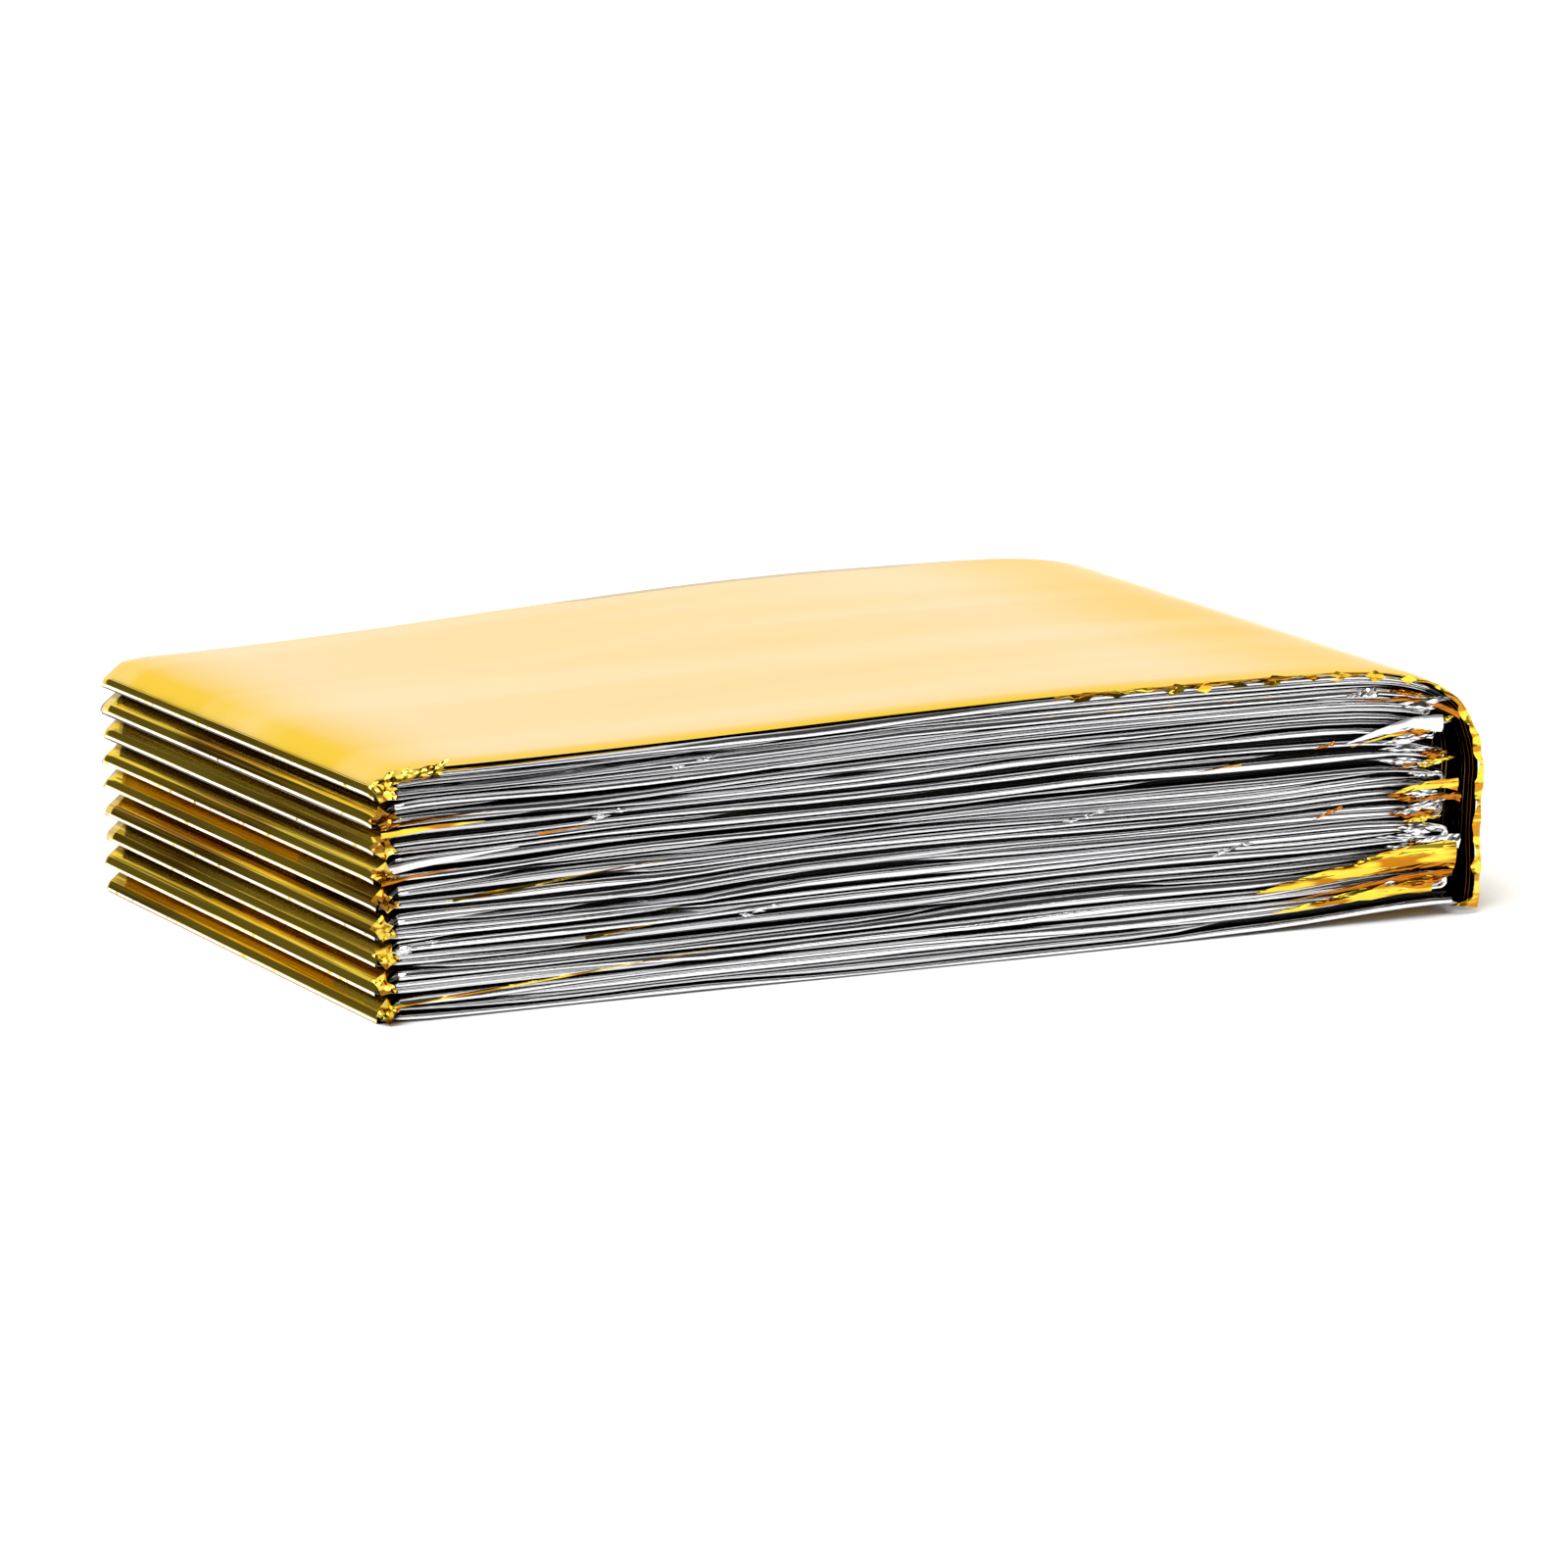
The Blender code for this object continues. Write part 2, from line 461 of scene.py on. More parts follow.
@dataclass
class FoldedSheet:
    """The whole film sheet, from the lowest panel's free end to the foot of the wrap."""

    shape: PacketShape
    pleats: Pleats = field(default_factory=Pleats)
    panel_steps: int = 25
    top_steps: int = 68
    nose: tuple[NosePoint, ...] = GOLD_NOSE
    nose_reach: float = 1.8
    hook_turns: tuple[float, ...] = (0.16, 0.32, 0.5, 0.68, 0.84)
    # The turns of the gold bends that carry the painted highlight along their crease.
    crease_highlight_turns: tuple[float, ...] = (0.29, 0.33)
    shoulder_steps: int = 26
    end_steps: int = 14
    nose_angles: tuple[float, ...] = (-90, -58, -12, 24, 60, 90)
    back_angles: tuple[float, ...] = (-90, -30, 30, 90)
    blunt_power: float = 0.7
    gap_depth: float = 1.3
    gap_close: float = 0.55
    fold_room: float = 0.4
    edge_tuck: float = 0.9
    edge_tuck_x: Range = (2.0, 9.0)
    fill: float = 0.95
    corner_draw_in: float = 1.0
    corner_reach: float = 3.0
    wrap_thickness: float = 0.45
    wrap_thin_turn: float = 0.7
    wrap_inner_gap: float = 0.55
    wrap_inner_turns: Range = (0.1, 0.6)
    wrap_gold_turn: float = 0.55
    # Painted shade: from which turn of the wrap the inner films are darkened, and how recesses, fold sides and
    # the parts around the gold bends are darkened.
    wrap_shade_turn: float = 0.4
    recess_shade: Range = (0.3, 1.1)
    fold_side_shade: float = 0.35
    bend_shade: float = 0.66
    bend_shade_above: Range = (0.57, 0.72)
    bend_shade_below: Range = (0.20, 0.28)
    bend_shade_x: Range = (6.0, 9.0)
    open_from_edge: Range = (0.2, 3.4)
    open_from_left: Range = (0.8, 15.0)
    outer_shares: tuple[float, ...] = OUTER_SHARES
    outer_middle: int = 5
    name: str = "folded_sheet"

    def stations(self) -> Stations:
        """The points along the strip, closer together towards the bends."""
        shape = self.shape
        rows: list[tuple[int, float, float, int, int, float]] = []
        even = np.linspace(0.0, 1.0, self.panel_steps + 1)
        eased = 0.5 * even + 0.25 * (1.0 - np.cos(pi * even))
        start = shape.hook_x
        for panel in range(shape.panels - 1):
            if panel % 2:
                side, reach, turns = 1.0, 1.0, self.hook_turns
                tip = shape.hook_x - shape.hook_in[panel // 2]
            else:
                side, reach, turns = -1.0, self.nose_reach, [point.turn for point in self.nose]
                tip = shape.nose_in[panel // 2]
            end = tip - side * self.thickness(panel, np.array(tip)) * reach
            rows += [(Kind.PANEL.value, x, 0.0, panel, panel, 0.0) for x in start + (end - start) * eased]
            rows += [(Kind.BEND.value, end, turn, panel, panel + 1, side) for turn in turns]
            start = end
        top = shape.panels - 1
        for x in start + (shape.shoulder_start_x - start) * np.linspace(0.0, 1.0, self.top_steps):
            rows.append((Kind.PANEL.value, x, 0.0, top, top, 0.0))
        over = np.linspace(0.0, 1.0, self.shoulder_steps + 1)[1:]
        turns = np.concatenate([over, 1.0 + np.linspace(0.0, 1.0, self.end_steps + 1)[1:]])
        rows += [(Kind.WRAP.value, shape.shoulder_start_x, turn, top, top, 0.0) for turn in turns]
        place = Stations(*(np.array(values) for values in zip(*rows)))
        place.x[place.on(Kind.WRAP)] = shape.wrap_course(turns, np.full_like(turns, 0.5))[0]
        return place

    def thickness(self, panel: int, x: np.ndarray) -> float:
        """A panel's thickness at x, at the middle of its width."""
        middle = np.array(0.5)
        above = self.shape.boundary(np.array(panel + 1.0), x, middle)
        return float(above - self.shape.boundary(np.array(float(panel)), x, middle))

    def columns(self) -> list[Column]:
        """The points across the strip, from the silver film's back edge to the gold film's front edge."""
        columns = [Column(0, 1.0)]
        last = self.pleats.films - 1
        for pair in range(self.pleats.pairs):
            film = 2 * pair
            columns.append(Column(film, 0.0, front_pair=pair, angle=-90, behind=self.gap_depth))
            columns += [Column(film, 0.0, front_pair=pair, angle=angle) for angle in self.nose_angles]
            columns.append(Column(film + 1, 0.0, front_pair=pair, angle=90, behind=self.gap_depth))
            columns += [Column(film + 1, 1.0, back_pair=pair, angle=angle) for angle in self.back_angles]
        return columns + [Column(last, share) for share in (*self.outer_shares, 0.0)]

    def on_outer_film(self, columns: list[Column]) -> np.ndarray:
        """Which columns lie on the outermost gold film."""
        return np.array([column.film == self.pleats.films - 1 for column in columns])

    def edges(self, place: Stations, at_back: bool) -> Edge:
        """The pleats' edge at every station, blended from panel to panel around the bends."""
        panels = [self.pleats.edge(panel, place.x, at_back) for panel in range(self.shape.panels)]
        index = np.arange(len(place.x))
        turn = np.where(place.on(Kind.BEND), place.turn, 0.0)
        blended = []
        for key in ("stops", "proud", "tilt"):
            stacked = np.stack([getattr(panel, key) for panel in panels])
            below, above = stacked[place.lower, :, index].T, stacked[place.upper, :, index].T
            blended.append(below + (above - below) * turn)
        return Edge(*blended)

    def across_strip(self, column: Column, edge: Edge) -> tuple[np.ndarray, np.ndarray]:
        """A column's share of the strip's thickness, and how far it stands out past the strip's edge."""
        pair = max(column.front_pair, column.back_pair)
        if pair < 0:
            share = edge.stops[column.film]
            return (share - 0.5) * self.fill, np.zeros_like(share)
        low = 2 * pair if column.front_pair >= 0 else 2 * pair + 1
        below, above = edge.stops[low], edge.stops[low + 1]
        angle = radians(column.angle)
        half = (above - below) / 2 * (self.gap_close if column.behind else 1.0)
        share = (below + above) / 2 + half * sin(angle)
        pitch = self.shape.left_height / self.shape.panels
        lean = edge.tilt[pair] * sin(angle) * half * pitch
        blunt = 2.0 * half * pitch * self.pleats.bulge * abs(cos(angle)) ** self.blunt_power
        return (share - 0.5) * self.fill, edge.proud[pair] + blunt + lean - column.behind

    def on_wrap(self, place: Stations, column: Column, offset: np.ndarray) -> np.ndarray:
        """Points over the shoulder and down the end, at an offset through the strip's thickness."""
        shape, step = self.shape, 0.005
        across = np.full(len(place.x), column.share)
        turn = np.where(place.on(Kind.WRAP), place.turn, 0.0)
        course, after, before = (
            np.stack(shape.wrap_course(turn + change, across), axis=1) for change in (0.0, step, -step)
        )
        ahead = after - before
        ahead /= np.maximum(np.linalg.norm(ahead, axis=1, keepdims=True), 1e-9)
        outward = np.stack([-ahead[:, 1], ahead[:, 0]], axis=1)
        edge_x = np.full(len(place.x), shape.shoulder_start_x)
        top_panel = np.full(len(place.x), shape.panels - 1.0)
        start = shape.top(edge_x, across) - shape.boundary(top_panel, edge_x, across)
        thick = start + (self.wrap_thickness - start) * smooth_ramp(turn, 0.0, self.wrap_thin_turn)
        inner = 0.0 if column.film == self.pleats.films - 1 else self.wrap_inner_gap
        inset = (0.5 - offset) * thick + inner * smooth_ramp(turn, *self.wrap_inner_turns)
        return course - outward * inset[:, None]

    def lay(self, place: Stations, column: Column, offset: np.ndarray) -> np.ndarray:
        """Points in x and height at an offset through the strip's thickness, as a share of it."""
        shape = self.shape
        x, lower, upper = place.x, place.lower, place.upper
        across = np.full(len(x), column.share)
        inside = np.minimum(x, shape.hook_x)
        bottom = shape.boundary(lower, inside, across)
        middle = shape.boundary(lower + 1, inside, across)
        top = shape.boundary(upper + 1, inside, across)
        gold_up = np.where(lower % 2 == 1, 1.0, -1.0)
        flat = (bottom + middle) / 2 + gold_up * offset * (middle - bottom)
        panel = np.stack([x, shape.pinched(flat, lower, inside, across)], axis=1)

        side, turn = place.side, place.turn
        angle = (turn - 0.5) * pi
        nose_turns, nose_out, nose_up = np.array(self.nose).T
        out = np.where(side < 0, np.interp(turn, nose_turns, nose_out) * self.nose_reach, np.cos(angle))
        up = np.where(side < 0, np.interp(turn, nose_turns, nose_up), np.sin(angle))
        thick = (middle - bottom) + (top - 2 * middle + bottom) * turn
        radius = thick * (0.5 - side * offset)
        level = np.where(turn < 0.5, lower, upper)
        height = shape.pinched(middle + radius * up, level, inside, across)
        bend = np.stack([x + side * radius * out, height], axis=1)

        laid = np.where(place.on(Kind.BEND)[:, None], bend, panel)
        return np.where(place.on(Kind.WRAP)[:, None], self.on_wrap(place, column, offset), laid)

    def build(self, materials: list[bpy.types.Material]) -> bpy.types.Object:
        """Lay the film along the strip and make it one mesh."""
        shape, place, columns = self.shape, self.stations(), self.columns()
        front_edge, back_edge = self.edges(place, False), self.edges(place, True)
        rows = np.minimum(place.lower // 2, len(shape.front_in) - 1)
        from_end = np.minimum(place.x - np.array(shape.nose_in)[rows], shape.length - place.x)
        drawn_in = self.corner_draw_in * (1.0 - smooth_ramp(from_end, 0.0, self.corner_reach))
        front = -shape.depth / 2 + np.array(shape.front_in)[rows] + drawn_in + self.fold_room
        back = shape.depth / 2 - np.array(shape.back_in)[rows] - drawn_in - self.fold_room
        below_top = place.lower < shape.panels - 1
        points = np.zeros((len(place.x), len(columns), 3))
        for j, column in enumerate(columns):
            at_front = column.share < 0.5
            offset, proud = self.across_strip(column, front_edge if at_front else back_edge)
            if at_front and column.film == self.pleats.films - 1:
                proud = proud - self.edge_tuck * below_top * smooth_ramp(place.x, *self.edge_tuck_x)
            flat = self.lay(place, column, offset)
            y = front + (back - front) * column.share + (-proud if at_front else proud)
            points[:, j] = np.stack([flat[:, 0] - shape.length / 2, y, flat[:, 1]], axis=1)
        shades = {
            # The first two are painted light: shade in the gaps and between the gold bends, and a highlight
            # along the bends' creases.
            "tucked": self.tucked(columns, place, front_edge, back_edge),
            "crease_highlight": self.crease_highlight(columns, place),
            "broad": self.broad(columns, place),
            "unfolded": self.unfolded(points),
        }
        return film_object(self.name, points, self.face_slots(columns, place), materials, True, shades)

    def face_slots(self, columns: list[Column], place: Stations) -> np.ndarray:
        """Which of the film's faces shows, for each quad between the stations and the columns."""
        silver = [
            column.front_pair >= 0 or following.front_pair >= 0 or column.film == 0
            for column, following in zip(columns, columns[1:])
        ]
        slots = np.where(np.tile(silver, (len(place.x) - 1, 1)), Film.SILVER.value, Film.GOLD.value)
        slots[place.on(Kind.WRAP)[1:] & (place.turn[1:] > self.wrap_gold_turn)] = Film.GOLD.value
        return slots

    def tucked(self, columns: list[Column], place: Stations, front_edge: Edge, back_edge: Edge) -> np.ndarray:
        """How much painted shade each point gets for lying deep in a gap between two folds, from 0 on a nose to
        1 inside.
        """
        outer = self.on_outer_film(columns)
        painted_shade = np.zeros((len(place.x), len(columns)))
        for j, column in enumerate(columns):
            pair = max(column.front_pair, column.back_pair)
            if pair < 0:
                continue
            edge = front_edge if column.front_pair >= 0 else back_edge
            # Painted shade on the sides of the folds, and deeper painted shade the further a fold is recessed.
            on_side = self.fold_side_shade if abs(column.angle) == 90 else 0.0
            recess_shade = smooth_ramp(-edge.proud[pair], *self.recess_shade)
            painted_shade[:, j] = 1.0 if column.behind else np.maximum(recess_shade, on_side)
        # Painted shade between the gold bends, on the outermost film.
        painted_shade = np.maximum(painted_shade, self.between_bends(place)[:, None] * outer[None, :])
        # Full painted shade on the inner films under the wrap and inside the gold bends.
        inner = place.on(Kind.WRAP) & (place.turn > self.wrap_shade_turn) | (place.side < 0)
        painted_shade[np.ix_(inner, ~outer)] = 1.0
        return painted_shade

    def between_bends(self, place: Stations) -> np.ndarray:
        """Painted shade between gold bends, at each station: on their upper and lower parts, and on the films
        behind.
        """
        above = smooth_ramp(place.turn, *self.bend_shade_above)
        below = 1.0 - smooth_ramp(place.turn, *self.bend_shade_below)
        on_panel = place.on(Kind.PANEL) & (place.lower > 0)
        near_bend = on_panel * (1.0 - smooth_ramp(place.x, *self.bend_shade_x))
        painted_shade = np.maximum((place.side < 0) * (above + below), near_bend)
        return self.bend_shade * painted_shade * (place.upper < self.shape.panels - 1)

    def crease_highlight(self, columns: list[Column], place: Stations) -> np.ndarray:
        """Where a painted highlight goes: a whitened line along the crease under each gold bend."""
        on_crease = np.isin(place.turn, self.crease_highlight_turns) & (place.side < 0)
        return on_crease[:, None] * self.on_outer_film(columns)[None, :] * 1.0

    def broad(self, columns: list[Column], place: Stations) -> np.ndarray:
        """Where the film lies open: on the top and bottom faces and on the wrap, fading to the edges."""
        top = self.shape.panels - 1
        open_panel = ((place.lower == top) | (place.lower == 0)) & ~place.on(Kind.BEND)
        open_panel = open_panel | (place.upper == top) & (place.turn > 0.5)
        from_front = np.array([column.share for column in columns]) * self.shape.depth
        from_edge = np.minimum(from_front, self.shape.depth - from_front)
        inside = smooth_ramp(from_edge, *self.open_from_edge) * self.on_outer_film(columns)
        return (open_panel * smooth_ramp(place.x, *self.open_from_left))[:, None] * inside[None, :]

    def unfolded(self, points: np.ndarray) -> np.ndarray:
        """Each point's place on the unfolded sheet, along and across the strip, in millimetres."""
        middle = points[:, self.outer_middle - len(self.outer_shares) - 1]
        flat = np.zeros_like(points)
        flat[1:, :, 0] = np.cumsum(np.linalg.norm(np.diff(middle, axis=0), axis=1))[:, None]
        flat[:, 1:, 1] = np.cumsum(np.median(np.linalg.norm(np.diff(points, axis=1), axis=2), axis=0))
        return flat


@dataclass
class WrapRim:
    """The gold edge of the top panel: curled bits along the front, and a crumpled lip down over the end."""

    shape: PacketShape
    start_x: float = 74.0
    flat_steps: int = 40
    curve_steps: int = 1000
    steps: int = 130
    shares: tuple[float, ...] = (0.0, 0.28, 0.6, 1.0)
    least_width: float = 0.12
    bit_width: float = 0.3
    bit_length: float = 7.0
    lip_width: float = 1.0
    lip_length: float = 5.0
    lip_turns: Range = (0.25, 0.75)
    corner_width: float = 2.4
    corner_turns: Range = (1.88, 2.0)
    jitter: float = 0.05
    ripple: float = 0.22
    ripple_length: float = 4.5
    curl: float = 0.35
    inside_front: float = 0.25
    lowest: float = 0.15
    mottled: float = 0.9
    seed: int = 31
    name: str = "wrap_rim"

    def course(self) -> tuple[np.ndarray, np.ndarray, np.ndarray, np.ndarray]:
        """Even points along the edge: their place, the way inwards, the turn and the distance along."""
        shape = self.shape
        straight = np.linspace(self.start_x, shape.shoulder_start_x, self.flat_steps, endpoint=False)
        turns = np.linspace(0.0, 2.0, self.curve_steps)
        curve = np.stack(shape.wrap_course(turns, np.zeros_like(turns)), axis=1)
        flat = np.stack([straight, shape.top(straight, np.zeros_like(straight))], axis=1)
        line = np.concatenate([flat, curve])
        turn = np.concatenate([np.linspace(-1.0, 0.0, self.flat_steps, endpoint=False), turns])
        reached = np.concatenate([[0.0], np.cumsum(np.linalg.norm(np.diff(line, axis=0), axis=1))])
        even = np.linspace(0.0, reached[-1], self.steps)
        line = np.stack([np.interp(even, reached, line[:, axis]) for axis in (0, 1)], axis=1)
        along = np.gradient(line, axis=0)
        along /= np.linalg.norm(along, axis=1, keepdims=True)
        return line, np.stack([along[:, 1], -along[:, 0]], axis=1), np.interp(even, reached, turn), even

    def build(self, materials: list[bpy.types.Material]) -> bpy.types.Object:
        """Make the crumpled lip as a strip of facets."""
        draw = np.random.default_rng(self.seed)
        line, inward, turn, distance = self.course()
        bits = np.clip(wander(distance, self.seed, self.bit_length) + 0.15, 0.0, 1.0) * self.bit_width
        lip = self.lip_width * (0.8 + 0.3 * wander(distance, self.seed + 1, self.lip_length))
        lip = lip + self.corner_width * smooth_ramp(turn, *self.corner_turns)
        width = self.least_width + bits + (lip - bits) * smooth_ramp(turn, *self.lip_turns)
        front = -self.shape.depth / 2 + self.inside_front
        points = np.zeros((self.steps, len(self.shares), 3))
        for j, share in enumerate(self.shares):
            rough = draw.uniform(-1.0, 1.0, (self.steps, 3)) * self.jitter * (0.25 + 0.75 * share)
            reach = width * share
            rippled = self.ripple * wander(distance + 2.0 * share, self.seed + 2, self.ripple_length)
            points[:, j, 0] = line[:, 0] + inward[:, 0] * reach + rough[:, 0] * 0.6 - self.shape.length / 2
            points[:, j, 1] = front - self.curl * sin(pi * share * 0.8) + rippled + rough[:, 1]
            points[:, j, 2] = line[:, 1] + inward[:, 1] * reach + rough[:, 2] * 0.4
        points[:, :, 2] = np.maximum(points[:, :, 2], self.lowest)
        slots = np.full((self.steps - 1, len(self.shares) - 1), Film.GOLD.value)
        mottled = {"mottled": np.full(points.shape[:2], self.mottled)}
        return film_object(self.name, points, slots, materials, True, mottled)


class Flare(NamedTuple):
    """A slip of film that stands out of the front pleats: from a point at one end to its full width."""

    start_x: float
    end_x: float
    start_level: float
    end_level: float
    width: float
    lean: float
    film: Film
    crumple: float


# Slips in the dark orange film are gold painted as shaded and reflecting other gold.
FLARES = (
    Flare(97.5, 121.3, 0.17, 0.255, 3.1, -7, Film.GOLD, 0.10),
    Flare(110.0, 121.2, 0.185, 0.215, 1.0, 12, Film.SHADED_GOLD, 0.12),
    Flare(99.5, 118.5, 0.085, 0.125, 1.9, 4, Film.GOLD, 0.13),
    Flare(101.0, 121.0, 0.125, 0.165, 0.9, -30, Film.SHADED_GOLD, 0.12),
    Flare(116.5, 121.8, 0.30, 0.32, 1.6, -10, Film.SILVER, 0.14),
    Flare(108.0, 119.5, 0.72, 0.835, 1.9, -6, Film.SILVER, 0.06),
    Flare(108.5, 118.0, 0.705, 0.79, 0.5, -6, Film.GOLD, 0.06),
    Flare(109.0, 121.5, 0.885, 0.915, 0.7, 5, Film.SHADED_GOLD, 0.10),
    Flare(107.5, 111.5, 0.905, 0.925, 0.9, 40, Film.SILVER, 0.25),
    Flare(113.0, 121.5, 0.50, 0.585, 1.3, -8, Film.GOLD, 0.12),
    Flare(115.5, 121.8, 0.47, 0.53, 0.9, -10, Film.SHADED_GOLD, 0.15),
    Flare(104.0, 107.5, 0.43, 0.47, 0.5, 0, Film.SHADED_GOLD, 0.10),
    Flare(104.0, 106.5, 0.71, 0.725, 0.5, 0, Film.SHADED_GOLD, 0.10),
    Flare(90.0, 95.5, 0.66, 0.68, 0.3, 24, Film.GOLD, 0.05),
    Flare(11.5, 0.6, 0.775, 0.765, 0.75, -8, Film.GOLD, 0.04),
    Flare(12.5, 0.6, 0.815, 0.80, 0.45, 30, Film.SHADED_GOLD, 0.04),
    Flare(22.5, 17.0, 0.715, 0.70, 0.3, -10, Film.SHADED_GOLD, 0.04),
    Flare(8.5, 0.6, 0.60, 0.575, 0.5, 0, Film.SHADED_GOLD, 0.06),
    Flare(31.0, 8.0, 0.55, 0.475, 0.35, 36, Film.GOLD, 0.03),
    Flare(30.0, 22.0, 0.30, 0.27, 0.3, 30, Film.GOLD, 0.03),
    Flare(36.0, 1.5, 0.175, 0.075, 0.35, 12, Film.GOLD, 0.03),
    Flare(15.0, 1.2, 0.66, 0.625, 1.0, -4, Film.SILVER, 0.03),
)


@dataclass
class FilmFlares:
    """Slips of film that have slid out between the front pleats, long thin wedges towards the ends."""

    shape: PacketShape
    flares: tuple[Flare, ...] = FLARES
    steps: int = 14
    shares: tuple[float, ...] = (-0.5, -0.25, 0.0, 0.25, 0.5)
    least_width: float = 0.06
    widening: float = 0.85
    width_waver: float = 0.12
    width_length: float = 9.0
    lean_waver: float = 0.5
    lean_length: float = 14.0
    proud: float = 0.75
    inside_front: float = 0.4
    bow: float = 0.12
    faceted_from: float = 0.09
    seed: int = 53
    name: str = "film_flares"

    def grid(self, flare: Flare, draw: np.random.Generator) -> np.ndarray:
        """One slip's points, along it and across it."""
        shape = self.shape
        along = np.linspace(0.0, 1.0, self.steps)
        x = flare.start_x + (flare.end_x - flare.start_x) * along
        low = shape.underside(x)
        level = flare.start_level + (flare.end_level - flare.start_level) * along
        middle = low + (shape.top(x, np.zeros_like(x)) - low) * level
        width = flare.width * (self.least_width + (1.0 - self.least_width) * along**self.widening)
        width = width * (1.0 + self.width_waver * wander(x, int(100 * level[0]), self.width_length))
        lean = 1.0 + self.lean_waver * wander(x, int(77 * level[-1]), self.lean_length)
        lean = np.tan(radians(flare.lean)) * lean
        front = -shape.depth / 2 + self.inside_front - self.proud
        points = np.zeros((self.steps, len(self.shares), 3))
        for j, share in enumerate(self.shares):
            rough = draw.uniform(-1.0, 1.0, (self.steps, 2)) * flare.crumple * along[:, None]
            arch = self.bow * width * (1.0 - 4.0 * share * share)
            points[:, j, 0] = x - shape.length / 2
            points[:, j, 1] = front - arch + lean * width * share + rough[:, 0]
            points[:, j, 2] = middle + width * share + rough[:, 1] * 0.7
        return points if flare.end_x > flare.start_x else points[::-1]

    def build(self, materials: list[bpy.types.Material]) -> bpy.types.Object:
        """Make each slip and join them into one piece."""
        draw = np.random.default_rng(self.seed)
        parts = []
        for flare in self.flares:
            grid = self.grid(flare, draw)
            slots = np.full((self.steps - 1, len(self.shares) - 1), flare.film.value)
            mottled = {"mottled": np.full(grid.shape[:2], float(flare.film is Film.GOLD))}
            smooth = flare.crumple < self.faceted_from
            parts.append(film_object(self.name, grid, slots, materials, smooth, mottled))
        return joined(parts, self.name)


class Value:
    """A number in a node tree, on which Python's operators add Math nodes."""

    def __init__(self, sketch: "NodeSketch", socket: bpy.types.NodeSocket) -> None:
        """Wrap a socket of the tree."""
        self.sketch = sketch
        self.socket = socket

    def __add__(self, other: Any) -> "Value":
        """Sum."""
        return self.sketch.math("ADD", self, other)

    def __radd__(self, other: Any) -> "Value":
        """Sum, reflected."""
        return self.sketch.math("ADD", other, self)

    def __sub__(self, other: Any) -> "Value":
        """Difference."""
        return self.sketch.math("SUBTRACT", self, other)

    def __rsub__(self, other: Any) -> "Value":
        """Difference, reflected."""
        return self.sketch.math("SUBTRACT", other, self)

    def __mul__(self, other: Any) -> "Value":
        """Product."""
        return self.sketch.math("MULTIPLY", self, other)

    def __rmul__(self, other: Any) -> "Value":
        """Product, reflected."""
        return self.sketch.math("MULTIPLY", other, self)

    def __abs__(self) -> "Value":
        """Size without its sign."""
        return self.sketch.math("ABSOLUTE", self)


class NodeSketch:
    """A node tree to which nodes are added with one method."""

    def __init__(self, tree: bpy.types.NodeTree) -> None:
        """Start on a tree."""
        self.tree = tree

    def node(self, kind: str, settings: dict[str, Any], *values: Any, **named: Any) -> bpy.types.NodeSocket:
        """Add a node.

        Args:
            kind: Its type.
            settings: Properties that are set first. "output" picks the socket that is returned.
            values: What goes into its inputs in order: a Value, a socket, a constant, or None to skip one.
            named: What goes into inputs by name, with underscores for spaces.

        Returns:
            The node's chosen output socket, its first if none is chosen.
        """
        made = self.tree.nodes.new(kind)
        for key, setting in settings.items():
            if key != "output":
                setattr(made, key, setting)
        wanted = [(made.inputs[i], value) for i, value in enumerate(values) if value is not None]
        wanted += [(made.inputs[key.replace("_", " ")], value) for key, value in named.items()]
        for socket, value in wanted:
            source = value.socket if isinstance(value, Value) else value
            if isinstance(source, bpy.types.NodeSocket):
                self.tree.links.new(source, socket)
            else:
                socket.default_value = source
        return made.outputs[settings.get("output", 0)] if len(made.outputs) else None

    def value(self, kind: str, settings: dict[str, Any], *values: Any, **named: Any) -> Value:
        """Add a node and wrap its output as a number."""
        return Value(self, self.node(kind, settings, *values, **named))

    def math(self, operation: str, *numbers: Any) -> Value:
        """Add a Math node."""
        return self.value("ShaderNodeMath", {"operation": operation}, *numbers)

    def vector(self, operation: str, *values: Any, **named: Any) -> bpy.types.NodeSocket:
        """Add a Vector Math node."""
        return self.node("ShaderNodeVectorMath", {"operation": operation}, *values, **named)

    def axis(self, name: str, vector: bpy.types.NodeSocket) -> Value:
        """One of a vector's three numbers."""
        return self.value("ShaderNodeSeparateXYZ", {"output": name}, vector)

    def ramp(self, number: Any, low: float, high: float, to_low: float = 0.0, to_high: float = 1.0) -> Value:
        """A smooth step from to_low at low to to_high at high."""
        smooth = {"interpolation_type": "SMOOTHSTEP"}
        return self.value("ShaderNodeMapRange", smooth, number, low, high, to_low, to_high)

    def mix(self, share: Any, *colours: Any) -> bpy.types.NodeSocket:
        """Mix two colours, each of them a socket or a constant."""
        wanted = [(*colour, 1.0) if isinstance(colour, tuple) else colour for colour in colours]
        settings = {"data_type": "RGBA", "output": 2}
        return self.node("ShaderNodeMix", settings, share, None, None, None, None, None, *wanted)


